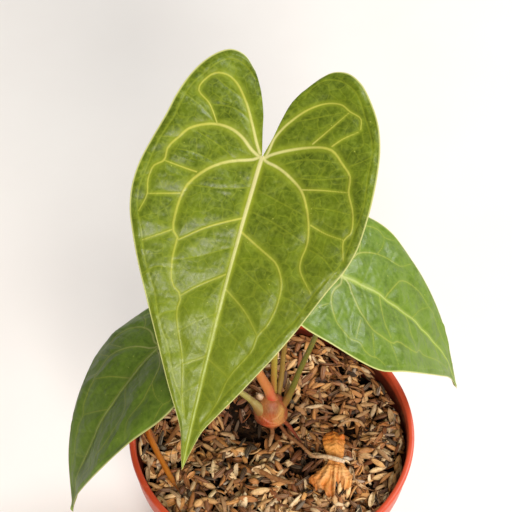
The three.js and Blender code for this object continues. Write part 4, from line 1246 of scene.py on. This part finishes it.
# %% Hull forms
def boat(stations=9, across=7, wall=0.16, blunt=0.0):
    """A ribbed, open hull: an outer and an inner skin joined along the rim."""
    u = np.linspace(-1, 1, stations)
    v = np.linspace(-1, 1, across)
    half = np.maximum((1 - np.abs(u) ** 2.3) ** 0.8, 0.1 + blunt)
    skins = []
    for drop in (0.0, wall):
        x = np.repeat(u, across) * (1 - 0.02 * (drop > 0))
        y = np.outer(half, v * (1 - drop * 0.5)).reshape(-1)
        crown_line = np.outer(0.35 + 0.65 * half, np.sqrt(1 - (0.93 * v) ** 2)).reshape(-1)
        ribs = 0.09 * np.tile(np.cos(2.5 * math.pi * v), stations) * np.repeat(half, across)
        skins.append(np.column_stack([x, y, crown_line + ribs - drop]))
    points = np.vstack(skins)
    outer = grid_faces(stations, across)
    inner = grid_faces(stations, across, start=stations * across)[:, ::-1]
    loop = grid_outline(stations, across)
    low = stations * across
    rim = [[a, b, b + low, a + low] for a, b in zip(loop, loop[1:] + loop[:1])]
    faces = np.vstack([outer[:, ::-1], inner[:, ::-1], np.array(rim)])
    share = np.tile(np.column_stack([np.repeat(u, across), np.tile(v, stations)]), (2, 1))
    return points, faces, share[:, 0], share[:, 1]


def spindle(stations=9, sides=9):
    """A closed hull, pointed at both ends, with its ribs as corners of the section."""
    u = np.linspace(-1, 1, stations)
    half = np.maximum((1 - np.abs(u) ** 2.1) ** 0.75, 0.06)
    angle = turn_in(sides)
    ribs = 1 + 0.07 * np.cos(3 * angle)
    x = np.repeat(u, sides)
    y = np.outer(half, ribs * np.cos(angle)).reshape(-1)
    z = np.outer(half, ribs * np.sin(angle)).reshape(-1) * 0.9 + 0.1
    points = np.vstack([np.column_stack([x, y, z]), [-1.05, 0, 0.1], [1.05, 0, 0.1]])
    # A triangle repeats its last point, so that all the faces fit in one array.
    faces = [(face + face[-1:])[:4] for face in ringed_faces(stations, sides, flip=True)]
    across = np.tile(np.cos(angle), stations)
    return points, np.array(faces), np.append(np.repeat(u, sides), [-1, 1]), np.append(across, [0, 0])


FORMS = {"boat": boat(), "spindle": spindle(), "shell": boat(7, 7, 0.2, 0.5)}
probe_u, probe_v = (grid.reshape(-1) for grid in np.meshgrid([-0.9, -0.45, 0, 0.45, 0.9], [-0.6, 0, 0.6]))
top_u, top_v = (grid.reshape(-1) for grid in np.meshgrid(np.linspace(-0.95, 0.95, 15), np.linspace(-0.8, 0.8, 6)))


def probe_points(u, v, length, width):
    """Points of a hull's outline, level and centred."""
    half = (1 - np.abs(u) ** 2.3) ** 0.8
    return np.column_stack([u * length / 2, v * half * width / 2, np.zeros(len(u))])


# The steepest slope a hull lies on, how far it can be pushed under litter, and how far it may stand up.
STEEPEST, DEEPEST_PUSH, HIGHEST = 0.55, 1.4, 2.6


def drop_hull(x, y, yaw, length, width, depth, pitch, roll, sink):
    """Settles one hull on the pile; gives its turn and place, or None where it doesn't fit."""
    facing = np.array([[math.cos(yaw), math.sin(yaw), 0], [-math.sin(yaw), math.cos(yaw), 0], [0, 0, 1.0]])
    foot = probe_points(probe_u, probe_v, length, width)
    spots = foot @ facing + [x, y, 0]
    if np.hypot(spots[:, 0], spots[:, 1]).max() > MIX_REACH - 0.35:
        return None
    under = height_map[cells(spots)]
    slope = np.linalg.lstsq(np.column_stack([foot[:, :2], np.ones(len(foot))]), under, rcond=None)[0][:2]
    slope = np.clip(slope, -STEEPEST, STEEPEST)
    a = math.atan(slope[0]) + pitch
    b = math.atan(slope[1]) + roll
    tip = np.array([[math.cos(a), 0, math.sin(a)], [0, 1, 0], [-math.sin(a), 0, math.cos(a)]])
    lean = np.array([[1, 0, 0], [0, math.cos(b), math.sin(b)], [0, -math.sin(b), math.cos(b)]])
    turn = lean @ tip @ facing
    feet = foot @ turn
    z = np.quantile(under - feet[:, 2], 0.8) - sink
    top = probe_points(top_u, top_v, length, width)
    top[:, 2] = depth * (1 - 0.6 * top_v**2) * (1 - 0.5 * top_u**2)
    top = top @ turn + [x, y, z]
    room = (ceiling[cells(top)] - 0.2 - top[:, 2]).min()
    if room < 0:
        if room < -DEEPEST_PUSH:
            return None
        z += room
        top[:, 2] += room
    if (top[:, 2] - mix_level(top[:, 0], top[:, 1]) + hollow(x, y)).max() > HIGHEST:
        return None
    np.maximum.at(height_map, cells(top), top[:, 2])
    return turn, np.array([x, y, z])


# %% [markdown]
# The colours of the hulls come from how they were roasted: most are straw or tan, some toasted brown, a few charred
# or ashen. Towards the back, under the leaves, and in the hollows the hulls are painted browner and darker: painted
# shade.


# %% Drop the hulls
HULLS = 2500
AT_WALL = 420
HULL_LENGTH, HULL_WIDTH = 8.2, 2.35
# Where each roast lies on the colour ramp of the hulls.
TONES = {"straw": (0.0, 0.24), "tan": (0.24, 0.5), "toasted": (0.5, 0.75), "charred": (0.78, 0.95),
         "ash": (0.95, 0.97)}
# Painted shade: hulls deep in a hollow take a darker tone from this range.
SHADED_HOLLOW_TONE = (0.46, 0.8)
dropped = {form: [] for form in FORMS}
for number in range(HULLS + AT_WALL):
    radius, turn = (MIX_REACH - 1.0) * math.sqrt(rng.random()), rng.uniform(0, 2 * math.pi)
    yaw = rng.uniform(0, 2 * math.pi)
    if number >= HULLS:  # the last ones lie along the wall
        radius = MIX_REACH - rng.uniform(1.6, 3.4)
        yaw = turn + math.pi / 2 + rng.normal(0, 0.35)
    x, y = polar(radius, turn)
    # Painted shade: hulls towards the back, under the leaves, and in the hollows get fewer pale roasts and darker
    # shades.
    hollow_depth = hollow(x, y)
    painted_shade_share = smooth_step(-22, 26, y) * 0.42 + min(0.5, 0.2 * hollow_depth)
    sparse = rng.random() < min(0.4, 0.12 * hollow_depth)
    kind = rng.random()
    limits = (0.34 * (1 - painted_shade_share) + 0.08, 0.72 - 0.1 * painted_shade_share, 0.92, 0.98, 1.0)
    roasted = next(name for name, limit in zip(TONES, limits) if kind < limit)
    tone = rng.uniform(*(SHADED_HOLLOW_TONE if hollow_depth > 1.4 and kind < 0.75 else TONES[roasted]))
    form = rng.choice(["boat", "spindle", "shell"], p=[0.5, 0.27, 0.23])
    length = rng.normal(HULL_LENGTH, 0.9) * (0.6 if form == "shell" else 1.0)
    width = rng.normal(HULL_WIDTH, 0.3) * (0.85 if form == "spindle" else 1.0)
    depth = width * rng.uniform(0.36, 0.56)
    steep = rng.random() < 0.24
    pitch = rng.normal(0, 0.5 if steep else 0.15)
    roll = rng.normal(0, 0.5)
    flipped = form != "spindle" and rng.random() < 0.4
    sink = rng.uniform(0, 0.3)
    settled = None if sparse else drop_hull(x, y, yaw, length, width, depth, pitch, roll, sink)
    if settled is None:
        continue
    # Each hull's shade is a random darkening times the painted shade towards the back and in the hollows.
    shade = rng.uniform(0, 1) * (1 - 0.55 * painted_shade_share) * (1 - 0.14 * min(hollow_depth, 4))
    bow = rng.normal(0.15, 0.4)
    dropped[form].append((*settled, (length / 2, width / 2, depth), tone, shade, bow, flipped))
print({form: len(group) for form, group in dropped.items()}, "hulls lie on the compost")

# %% [markdown]
# ## Hull tissue
#
# A hull is silica-rich straw: matte, with a faint silky glint along its ribs. The colour follows the roast, with
# paler ribs and darker tips.

# %% Hull material and meshes
husk = new_material("dried_rice_hull")
ROASTS = [(0.0, "#ffe9bf"), (0.22, "#f8cf90"), (0.36, "#e2a04e"), (0.5, "#c4792c"), (0.64, "#945316"),
          (0.76, "#5c300c"), (0.84, "#22140a"), (0.93, "#352a22"), (0.97, "#f2e0cc")]
roast = add(husk, "ValToRGB", {"stops": ROASTS}, Fac=add(husk, "Attribute", {"attribute_name": "tone"}, "Fac"))
place = add(husk, "TexCoord", None, "Object")
stains = add(husk, "TexNoise", Vector=place, Scale=650, Detail=5, Roughness=0.65)
stain_mask = add(husk, "ValToRGB", {"stops": [(0.46, 0.0), (0.7, 0.62)]}, Fac=stains)
stained = add(husk, "Mix", TINT, Factor=stain_mask, _6=roast, _7="#a87840")
across = add(husk, "Attribute", {"attribute_name": "across"}, "Fac")
rib_turns = add(husk, "Math", {"operation": "MULTIPLY"}, _0=across, _1=11.0)
ribs = add(husk, "Math", {"operation": "SINE"}, _0=rib_turns)
rib_light = add(husk, "MapRange", Value=ribs, From_Min=-1, From_Max=1, To_Min=0.0, To_Max=0.22)
ribbed_husk = add(husk, "Mix", COLOUR, Factor=rib_light, _6=stained, _7="#f6dfb4")
along = add(husk, "Attribute", {"attribute_name": "along"}, "Fac")
from_middle = add(husk, "Math", {"operation": "ABSOLUTE"}, _0=along)
tip_mask = add(husk, "MapRange", SOFT, Value=from_middle, From_Min=0.6, From_Max=1.05, To_Min=0.0, To_Max=0.6)
tipped = add(husk, "Mix", TINT, Factor=tip_mask, _6=ribbed_husk, _7="#7a4a20")
# Darkens each hull by its stored shade: partly random tone, partly painted shade towards the back and in the hollows.
random_and_painted_shade = add(husk, "MapRange", Value=add(husk, "Attribute", {"attribute_name": "shade"}, "Fac"),
          From_Max=0.8, To_Min=0.88, To_Max=0.0)
shaded = add(husk, "Mix", TINT, Factor=random_and_painted_shade, _6=tipped, _7="#8c643a")
husk_bump = add(husk, "Bump", Height=ribs, Strength=0.3, Distance=0.0001,
                Normal=add(husk, "Bump", Height=stains, Strength=0.4, Distance=0.0002))
husk_surface = add(husk, "BsdfPrincipled", Base_Color=shaded, Roughness=0.6, IOR=1.5, Normal=husk_bump)
finish_material(husk, husk_surface)

for form, group in dropped.items():
    unit, quads, along, across = FORMS[form]
    count = len(unit)
    turns, places, size, tones, shades, bows, upside = (np.array(values) for values in zip(*group))
    local = unit[None] * size[:, None]
    local[:, :, 2] += bows[:, None] * (1 - unit[None, :, 0] ** 2)
    local[upside, :, 2] = (size[upside, 2] * 1.05)[:, None] - local[upside, :, 2]
    local[upside, :, 1] *= -1
    points = (local @ turns + places[:, None]).reshape(-1, 3)
    faces = (quads[None] + count * np.arange(len(group))[:, None, None]).reshape(-1, 4).tolist()
    faces = [face if face[2] != face[3] else face[:3] for face in faces]
    attributes = {
        "tone": np.repeat(tones, count),
        "shade": np.repeat(shades, count),
        "along": np.tile(along, len(group)),
        "across": np.tile(across, len(group)),
    }
    piece = mesh_piece(f"rice_hull_{form}s", points, faces, attributes, husk)
    belongs(piece, "rice_hull_mix")

# %% [markdown]
# ## Roots on the surface
#
# Anthuriums push thick surface roots out of the crown. An old root is corky and brown; its growing end is swollen
# and nearly white, because it is covered in a spongy layer. They are the CAD lines again, made slightly lumpy, with
# the colour painted along them.

# %% Roots
cork = new_material("corky_surface_root")
paint = add(cork, "Attribute", {"attribute_name": "paint"})
place = add(cork, "TexCoord", None, "Object")
flakes = add(cork, "TexNoise", Vector=place, Scale=1100, Detail=6, Roughness=0.7)
flake_mask = add(cork, "ValToRGB", {"stops": [(0.45, 0.0), (0.68, 0.7)]}, Fac=flakes)
flaked = add(cork, "Mix", TINT, Factor=flake_mask, _6=paint, _7="#9a6a44")
cork_bump = add(cork, "Bump", Height=flakes, Strength=0.6, Distance=0.0003)
cork_surface = add(cork, "BsdfPrincipled", Base_Color=flaked, Roughness=0.75, IOR=1.45, Normal=cork_bump,
                   Subsurface_Weight=0.1, Subsurface_Radius=(0.002, 0.001, 0.0005))
finish_material(cork, cork_surface)


LINE_POINTS = 90


def lumpy(seed, depth):
    """A root's uneven thickness."""

    def bump(along, around):
        turn = 2 * math.pi * around
        return depth * uneven(np.column_stack([np.cos(turn), np.sin(turn), along * 9]), 2.2, seed, 2)

    return bump


def paint_along(piece, line, points, base, colours):
    """Paints a piece over its base colour with spots given as share along its line, size and hex."""
    spots = [(line[int(share * (LINE_POINTS - 1))], size, code) for share, size, code in colours]
    store_colours(piece, "paint", painted(points, base, spots))


def root_piece(name, node, inside, base, colours, seed, skip=2, depth=0.1):
    """A root along its CAD line, with its colours painted along it."""
    line, radii = stem(node, inside, LINE_POINTS, skip)
    points, faces, _, _ = tube(line, radii, 22, bump=lumpy(seed, depth))
    piece = mesh_piece(name, points, faces, material=cork)
    paint_along(piece, line, points, base, colours)
    return belongs(piece, "root_skin", node)


root_piece("long_surface_root", "root_long", inside_crown(3.0, -3.6, 2.4), "#96643a",
           [(0.05, 5, "#8a5230"), (0.35, 5, "#9c6b40"), (0.62, 3, "#c99a68"), (0.8, 4.5, "#ecd0a6"),
            (0.97, 3.5, "#f4dfc0")], 31, depth=0.09)
root_piece("red_surface_root", "root_red", inside_crown(3.8, -2.4, 3.6), "#8a4526",
           [(0.1, 3, "#a5552f"), (0.5, 3, "#96452a"), (0.95, 3, "#5a2c18")], 32)
root_piece("short_stub_root", "root_stub", inside_crown(0.4, -3.6, 2), "#a77a50",
           [(0.2, 3, "#9a6238"), (0.9, 2.5, "#c29a70")], 33)
root_piece("arched_rootlet", "root_arch", None, "#b98a58", [(0.5, 4, "#cda273")], 34, skip=0)

# %% [markdown]
# ## Stick and old stem
#
# The stick is a dry piece of petiole: hard, glossy amber, with a dark brittle point. The old stem beside it has
# rotted flat and shows its fibres.

# %% Dry stalks
dry_stalk = new_material("glossy_amber_dry_stalk")
paint = add(dry_stalk, "Attribute", {"attribute_name": "paint"})
stalk_place = add(dry_stalk, "CombineXYZ", X=add(dry_stalk, "Attribute", {"attribute_name": "along"}, "Fac"),
                  Y=add(dry_stalk, "Attribute", {"attribute_name": "around"}, "Fac"))
streak_map = add(dry_stalk, "Mapping", Vector=stalk_place, Scale=(6, 40, 1))
streaks = add(dry_stalk, "TexNoise", Vector=streak_map, Scale=1.0, Detail=5)
streak_mask = add(dry_stalk, "ValToRGB", {"stops": [(0.45, 0.0), (0.65, 0.6)]}, Fac=streaks)
streaked = add(dry_stalk, "Mix", TINT, Factor=streak_mask, _6=paint, _7="#a8622a")
stalk_bump = add(dry_stalk, "Bump", Height=streaks, Strength=0.4, Distance=0.0003)
stalk_surface = add(dry_stalk, "BsdfPrincipled", Base_Color=streaked, Roughness=0.35, IOR=1.5,
                    Normal=stalk_bump, Subsurface_Weight=0.15, Subsurface_Radius=(0.003, 0.001, 0.0004))
finish_material(dry_stalk, stalk_surface)


def stalk_piece(name, node, base, colours, flat=1.0, thin=None, ribs=0.04):
    """A dry stalk along its CAD line, beginning at its back end."""
    line, radii = stem(node, None, LINE_POINTS, 0)
    if line[0][1] < line[-1][1]:
        line, radii = line[::-1], radii[::-1]
    if thin is not None:
        radii = radii * thin(np.linspace(0, 1, LINE_POINTS))
    points, faces, along, around = tube(line, radii, 26, flat, ribbed(7, ribs, 4))
    piece = mesh_piece(name, points, faces, {"along": along, "around": around}, dry_stalk)
    paint_along(piece, line, points, base, colours)
    return belongs(piece, "dry_tissue", node)


stalk_piece("amber_dry_stick", "dry_stick", "#cf7a22",
            [(0.0, 8, "#b9681f"), (0.4, 8, "#dd8a2c"), (0.7, 6, "#e08f30"), (0.9, 4, "#6b3d18"), (1.0, 3, "#3a2212")],
            thin=lambda t: 1 - 0.45 * smooth_step(0.8, 0.9, t))
stalk_piece("flat_old_stem", "dry_stem", "#a5713c", [(0.1, 6, "#b98750"), (0.9, 6, "#7d5128")], flat=0.6, ribs=0.1)

# %% [markdown]
# ## The fallen leaf
#
# One small leaf has dropped, dried and crumpled. Its upper part is a puffed lobe with a knob where the petiole
# was; then comes a tight waist, and below it the rest spreads like a pleated fan with a torn edge. It is a thin
# sheet over a grid: the outline sets the grid's width, pleats fan out from the waist, and the torn edge comes from
# giving each column its own length.

# %% Fallen leaf
DRY_STATIONS = [
    # back to front: y, middle x, half width to the left, half width to the right, rise
    (4.4, 26.0, 0.9, 1.4, 0.6), (3.2, 26.1, 2.9, 3.2, 1.4), (1.4, 26.2, 4.3, 4.6, 2.2), (-1.0, 26.3, 4.8, 4.7, 2.7),
    (-3.6, 26.4, 4.5, 4.3, 2.5), (-6.2, 26.5, 3.8, 3.9, 1.9), (-8.4, 26.5, 3.1, 3.4, 1.2), (-9.8, 26.5, 2.7, 3.0, 0.9),
    (-11.6, 26.3, 3.4, 3.8, 1.2), (-14.0, 26.0, 5.2, 5.4, 1.9), (-16.6, 25.6, 7.2, 6.8, 2.4),
    (-19.2, 25.2, 9.0, 7.8, 2.3), (-21.6, 24.9, 9.6, 8.4, 1.9), (-24.0, 24.7, 8.6, 8.4, 1.4),
]
# How far each part of the torn edge reaches beyond the last station, from left to right.
TORN_EDGE = [(-1.0, -2.6), (-0.85, -0.6), (-0.6, 0.6), (-0.42, 0.4), (-0.3, 3.2), (-0.05, 4.6), (0.12, 3.6),
             (0.2, -2.4), (0.42, -3.2), (0.5, 0.2), (0.75, 1.0), (1.0, -2.2)]
# The few soft ridges of the lower part: middle as a share across, breadth, height in millimetres.
PLEATS = [(-0.86, 0.1, 0.7), (-0.5, 0.16, 1.3), (-0.18, 0.07, 0.5), (0.1, 0.15, 1.2), (0.38, 0.06, 0.6),
          (0.6, 0.13, 1.1), (0.88, 0.1, 0.8)]
dry_low, dry_high = cad_box("dry_leaf")
DRY_MIDDLE = 24.6  # of the stations, across
DRY_SHIFT = (dry_low + dry_high)[0] / 2 - DRY_MIDDLE


def fallen_leaf(rows=150, columns=110):
    """The crumpled sheet, with how much each point stands on a ridge and how near it is to the rim."""
    stations = smooth_curve(DRY_STATIONS, rows)
    v = np.linspace(-1, 1, columns)
    reach = np.interp(v, *np.array(TORN_EDGE).T)
    reach += 0.5 * np.sin(23 * v) + 0.35 * np.sin(41 * v + 1)
    y, middle, left, right, rise = (np.repeat(stations[:, k], columns) for k in range(5))
    across = np.tile(v, rows)
    down = smooth_step(-14, -24, y)
    x = middle + DRY_SHIFT + np.where(across < 0, left, right) * across
    y = y - np.tile(reach, rows) * down
    fan = smooth_step(-9, -20, y)
    flat = np.column_stack([x, y])
    bent = across + 0.07 * uneven(flat, 11, 5, 2)
    pleats = sum(high * bell(bent - middle_of, broad) for middle_of, broad, high in PLEATS) * fan
    folds = 0.3 * np.sin(across * 5 + 1.2 + 0.1 * y) * (1 - fan)
    wrinkles = 0.26 * uneven(flat, 6.5, 41) + 0.13 * uneven(flat, 2.2, 42, 2)
    dome = rise * (1 - 0.75 * np.abs(across) ** 2.2)
    curl = 1.0 * np.abs(across) ** 5 * fan
    knob = 1.9 * np.exp(-(((x - DRY_SHIFT - 30.0) ** 2 + (y - 1.6) ** 2) / 1.1))
    lobes = -0.5 * np.exp(-((across + 0.25) ** 2) / 0.03) * smooth_step(-7, 0, y)
    z = mix_level(x, y) + 1.0 + dome + pleats + folds + wrinkles + curl + knob + lobes
    z = np.maximum(z, mix_level(x, y) + 0.5)
    spread = 1 + 0.035 * np.abs(across) * uneven(flat, 3, 44, 2)
    x = middle + DRY_SHIFT + (x - middle - DRY_SHIFT) * spread
    top = np.column_stack([x, y, z])
    low = top - [0, 0, 0.28]
    count = rows * columns
    faces = np.vstack([grid_faces(rows, columns)[:, ::-1], grid_faces(rows, columns, start=count)]).tolist()
    loop = grid_outline(rows, columns)
    faces += [[a, a + count, b + count, b] for a, b in zip(loop, loop[1:] + loop[:1])]
    ridge = pleats + folds + wrinkles
    edge = np.maximum(np.abs(across) ** 8, np.repeat(np.linspace(0, 1, rows) ** 14, columns))
    return np.vstack([top, low]), faces, {"ridge": np.tile(ridge, 2), "rim": np.tile(edge, 2)}


leaf_points, leaf_faces, leaf_values = fallen_leaf()
dry_sheet = new_material("crumpled_dead_leaf")
paint = add(dry_sheet, "Attribute", {"attribute_name": "paint"})
place = add(dry_sheet, "TexCoord", None, "Object")
dry_cells = add(dry_sheet, "TexNoise", Vector=place, Scale=900, Detail=6, Roughness=0.65)
dry_patches = add(dry_sheet, "TexNoise", Vector=place, Scale=190, Detail=4)
patch_mask = add(dry_sheet, "ValToRGB", {"stops": [(0.5, 0.0), (0.7, 0.45)]}, Fac=dry_patches)
patched = add(dry_sheet, "Mix", TINT, Factor=patch_mask, _6=paint, _7="#bf7636")
# Painted highlight: the tops of pleats, folds and wrinkles are painted lighter.
ridge_light = add(dry_sheet, "MapRange", Value=add(dry_sheet, "Attribute", {"attribute_name": "ridge"}, "Fac"),
                  From_Min=0.3, From_Max=1.7, To_Min=0.0, To_Max=0.5)
ridge_highlighted = add(dry_sheet, "Mix", COLOUR, Factor=ridge_light, _6=patched, _7="#ffd596")
rim_dark = add(dry_sheet, "MapRange", Value=add(dry_sheet, "Attribute", {"attribute_name": "rim"}, "Fac"),
               From_Min=0.25, From_Max=1.0, To_Min=0.0, To_Max=0.5)
rimmed = add(dry_sheet, "Mix", COLOUR, Factor=rim_dark, _6=ridge_highlighted, _7="#94501f")
dry_bump = add(dry_sheet, "Bump", Height=dry_cells, Strength=0.5, Distance=0.0003)
dry_surface = add(dry_sheet, "BsdfPrincipled", Base_Color=rimmed, Roughness=0.55, IOR=1.45, Normal=dry_bump)
dry_glow = add(dry_sheet, "BsdfTranslucent", Color=rimmed, Normal=dry_bump)
dry_mix = add(dry_sheet, "MixShader", _0=0.12, _1=dry_surface, _2=dry_glow)
finish_material(dry_sheet, dry_mix)

fallen = mesh_piece("fallen_dry_leaf", leaf_points, leaf_faces, leaf_values, dry_sheet)
DRY_SPOTS = [
    ((25.5, 2.0), 3.6, "#f09230"), ((30.0, 1.6), 1.5, "#d8621a"), ((26.4, -4.2), 2.8, "#ffb860"),
    ((23.0, 0.6), 2.2, "#d97c28"), ((26.5, -9.4), 2.2, "#d98c3a"), ((25.0, -15.5), 3.8, "#ffbe6e"),
    ((29.5, -17.5), 3.4, "#ffc27a"), ((21.0, -18.5), 2.6, "#e8903e"), ((16.8, -22.0), 2.8, "#d4701c"),
    ((23.5, -24.5), 2.8, "#e08a38"), ((25.0, -28.5), 2.4, "#a5561c"), ((32.5, -21.5), 2.4, "#f0a24c"),
]
dry_paint = [((x + DRY_SHIFT, y, mix_level(x, y) + 2.2), size, code) for (x, y), size, code in DRY_SPOTS]
store_colours(fallen, "paint", painted(leaf_points, "#ee9e48", dry_paint))
belongs(fallen, "dry_tissue", "dry_leaf")

# %% [markdown]
# ## Strands, fibres and crumbs
#
# Thin rootlets, threads and lumps of peat lie between the hulls. Without them the pile looks too clean. Each strand
# is a soft curve laid on the finished height map, half sunk in.


# %% Strands and crumbs
def strand(start, end, bend, radius, sink):
    """A curve from start to end on the pile, sideways by bend, as points for a tube."""
    start, end = np.array(start, float), np.array(end, float)
    t = np.linspace(0, 1, 26)
    run = end - start
    side = np.array([-run[1], run[0]]) / np.linalg.norm(run)
    flat = start + t[:, None] * run + np.outer(bend * np.sin(math.pi * t), side)
    base = height_map[cells(np.column_stack([flat, t]))]
    smooth = np.convolve(np.pad(base, 6, mode="edge"), np.ones(13) / 13, "valid")
    z = np.maximum(smooth, base * 0.35 + smooth * 0.65) + radius * 0.4 - sink
    z = np.minimum(z, ceiling[cells(np.column_stack([flat, t]))] - radius - 0.1)
    return smooth_curve(np.column_stack([flat, z])[::4], STRAND_POINTS)


def joined(parts):
    """Many small meshes as one: points, faces and the number of points of each."""
    points, faces, start = [], [], 0
    for part_points, part_faces in parts:
        points.append(part_points)
        faces += [[index + start for index in face] for face in part_faces]
        start += len(part_points)
    return np.vstack(points), faces, [len(part[0]) for part in parts]


# Longer strands: start, end, sideways bend, radius and how deep they lie, in millimetres.
STRANDS = [
    ((-11.5, -10.4), (8, -20.5), -1.2, 1.15, 0.5), ((14, 2), (20, -2), 0.8, 0.7, 0.2),
    ((-20, -16), (-12, -24), 1.0, 0.55, 0.2), ((38, -4), (46, 8), -1.5, 0.5, 0.1),
    ((5, -30), (14, -41), 1.4, 0.6, 0.2), ((-34, -18), (-26, -30), 1.6, 0.5, 0.1),
]
FIBRES = 150
STRAND_POINTS = 40
strand_parts, strand_tone = [], []
for start, end, bend, radius, sink in STRANDS:
    line = strand(start, end, bend, radius, sink)
    radii = radius * (1 - 0.35 * np.linspace(-1, 1, STRAND_POINTS) ** 4)
    points, faces, _, _ = tube(line, radii, 14, 0.8, lumpy(int(radius * 100), 0.14))
    strand_parts.append((points, faces))
    strand_tone.append(rng.uniform(0.35, 0.6))
for _ in range(FIBRES):
    turn, radius = rng.uniform(0, 2 * math.pi), 52 * math.sqrt(rng.random())
    start = polar(radius, turn)
    heading, length = rng.uniform(0, 2 * math.pi), rng.uniform(4, 12)
    end = start + polar(length, heading)
    thin = rng.uniform(0.09, 0.26)
    if np.hypot(*end) > MIX_REACH - 2 or np.hypot(*(start - CROWN_AT[:2])) < 11:
        continue
    line = strand(start, end, rng.normal(0, 1.6), thin, rng.uniform(-0.1, 0.5))
    points, faces, _, _ = tube(line, np.full(STRAND_POINTS, thin), 7)
    strand_parts.append((points, faces))
    strand_tone.append(rng.uniform(0.3, 0.75))
points, faces, counts = joined(strand_parts)
strands = mesh_piece("rootlets_and_fibres", points, faces, material=cork)
palette = np.array([linear(code) for code in ("#c79a66", "#a5713f", "#7d4f28", "#573218")])
steps = np.clip((np.repeat(strand_tone, counts) - 0.25) / 0.5, 0, 0.999) * 3
mixed = palette[steps.astype(int)] * (1 - steps % 1)[:, None] + palette[steps.astype(int) + 1] * (steps % 1)[:, None]
store_colours(strands, "paint", mixed)
belongs(strands, "rice_hull_mix")


def crumb(size, seed):
    """An angular lump of peat."""
    lump_rng = np.random.default_rng(seed)
    rings, sides = 6, 8
    polar = np.linspace(0.12, math.pi - 0.12, rings)
    turn = turn_in(sides)
    shape = np.stack([
        np.outer(np.sin(polar), np.cos(turn)), np.outer(np.sin(polar), np.sin(turn)),
        np.repeat(np.cos(polar)[:, None], sides, 1),
    ], -1).reshape(-1, 3)
    shape *= (1 + 0.28 * lump_rng.normal(size=(len(shape), 1)).clip(-1.2, 1.2)) * size
    shape *= [1, lump_rng.uniform(0.6, 1), lump_rng.uniform(0.45, 0.8)]
    return np.vstack([shape, [0, 0, size * 0.7], [0, 0, -size * 0.7]]), ringed_faces(rings, sides, flip=True)


CRUMBS = 420
crumb_parts = []
for number in range(CRUMBS):
    turn, radius = rng.uniform(0, 2 * math.pi), (MIX_REACH - 1.6) * math.sqrt(rng.random())
    spot = np.array([*polar(radius, turn), 0.0])
    size = rng.uniform(0.25, 0.8) * (1.5 if rng.random() < 0.12 else 1)
    if height_map[cells(spot)] > mix_level(*spot[:2]) - 0.6:
        continue
    level = min(height_map[cells(spot)], ceiling[cells(spot)] - size)
    if np.hypot(*(spot - CROWN_AT)[:2]) < CROWN_RADIUS + 1:
        continue
    shape, faces = crumb(size, 900 + number)
    crumb_parts.append((shape + spot + [0, 0, level - size * rng.uniform(0.1, 0.9)], faces))
points, faces, _ = joined(crumb_parts)
belongs(mesh_piece("peat_crumbs", points, faces, material=compost), "rice_hull_mix")

# %% [markdown]
# ## Floor, light and camera
#
# The stage is a plain pale floor and soft light. The main lamp is a big panel high on the right and slightly
# behind, so blades show a broad satin sheen and thin tissue glows. A smaller panel in front lifts the crown and the
# mix, and a pale sky fills the shadows. The camera looks down on the plant from the front at about fifty degrees
# with a long lens, which keeps the heart shapes flat and undistorted.

# %% Stage
paper_floor = new_material("matte_pale_floor")
mottle = add(paper_floor, "TexNoise", Vector=add(paper_floor, "TexCoord", None, "Object"), Scale=9, Detail=5)
floor_colour = add(paper_floor, "ValToRGB", {"stops": [(0.35, "#efebe7"), (0.65, "#f2efeb")]}, Fac=mottle)
matte = add(paper_floor, "BsdfPrincipled", Base_Color=floor_colour, Roughness=0.9)
finish_material(paper_floor, matte)
REACH = 6000
floor_corners = [(-REACH, -REACH, -0.3), (REACH, -REACH, -0.3), (REACH, REACH, -0.3), (-REACH, REACH, -0.3)]
floor = mesh_piece("floor", floor_corners, [[0, 1, 2, 3]], material=paper_floor)

world = bpy.data.worlds.new("pale_sky")
bpy.context.scene.world = world
world.use_nodes = True
sky = world.node_tree.nodes["Background"]
sky.inputs["Color"].default_value = linear("#fffaf4")
sky.inputs["Strength"].default_value = 0.31


def soft_panel(name, at, towards, size, watts, colour):
    """A square area lamp of a given size in metres, aimed at a point."""
    lamp = bpy.data.lights.new(name, "AREA")
    lamp.shape = "SQUARE"
    lamp.size = size
    lamp.energy = watts
    lamp.color = linear(colour)[:3]
    panel = bpy.data.objects.new(name, lamp)
    panel.location = at
    panel.rotation_euler = (Vector(towards) - Vector(at)).to_track_quat("-Z", "Y").to_euler()
    bpy.context.scene.collection.objects.link(panel)


soft_panel("key_panel", (1.3, 0.7, 1.4), (0.0, 0.0, 0.1), 0.8, 33, "#ffffff")
soft_panel("front_panel", (0.25, -1.02, 0.82), (0.0, 0.0, 0.14), 0.4, 14.5, "#fff8f0")

CAMERA_AT = (-0.0065, -0.354, 0.6451)
CAMERA_TILT = 39.35
LENS_MM = 108.98
camera_data = bpy.data.cameras.new("camera")
camera_data.sensor_width = 36
camera_data.lens = LENS_MM
camera = bpy.data.objects.new("camera", camera_data)
camera.location = CAMERA_AT
camera.rotation_euler = (math.radians(CAMERA_TILT), 0, 0)
bpy.context.scene.collection.objects.link(camera)
bpy.context.scene.camera = camera
bpy.context.scene.view_settings.view_transform = "Standard"
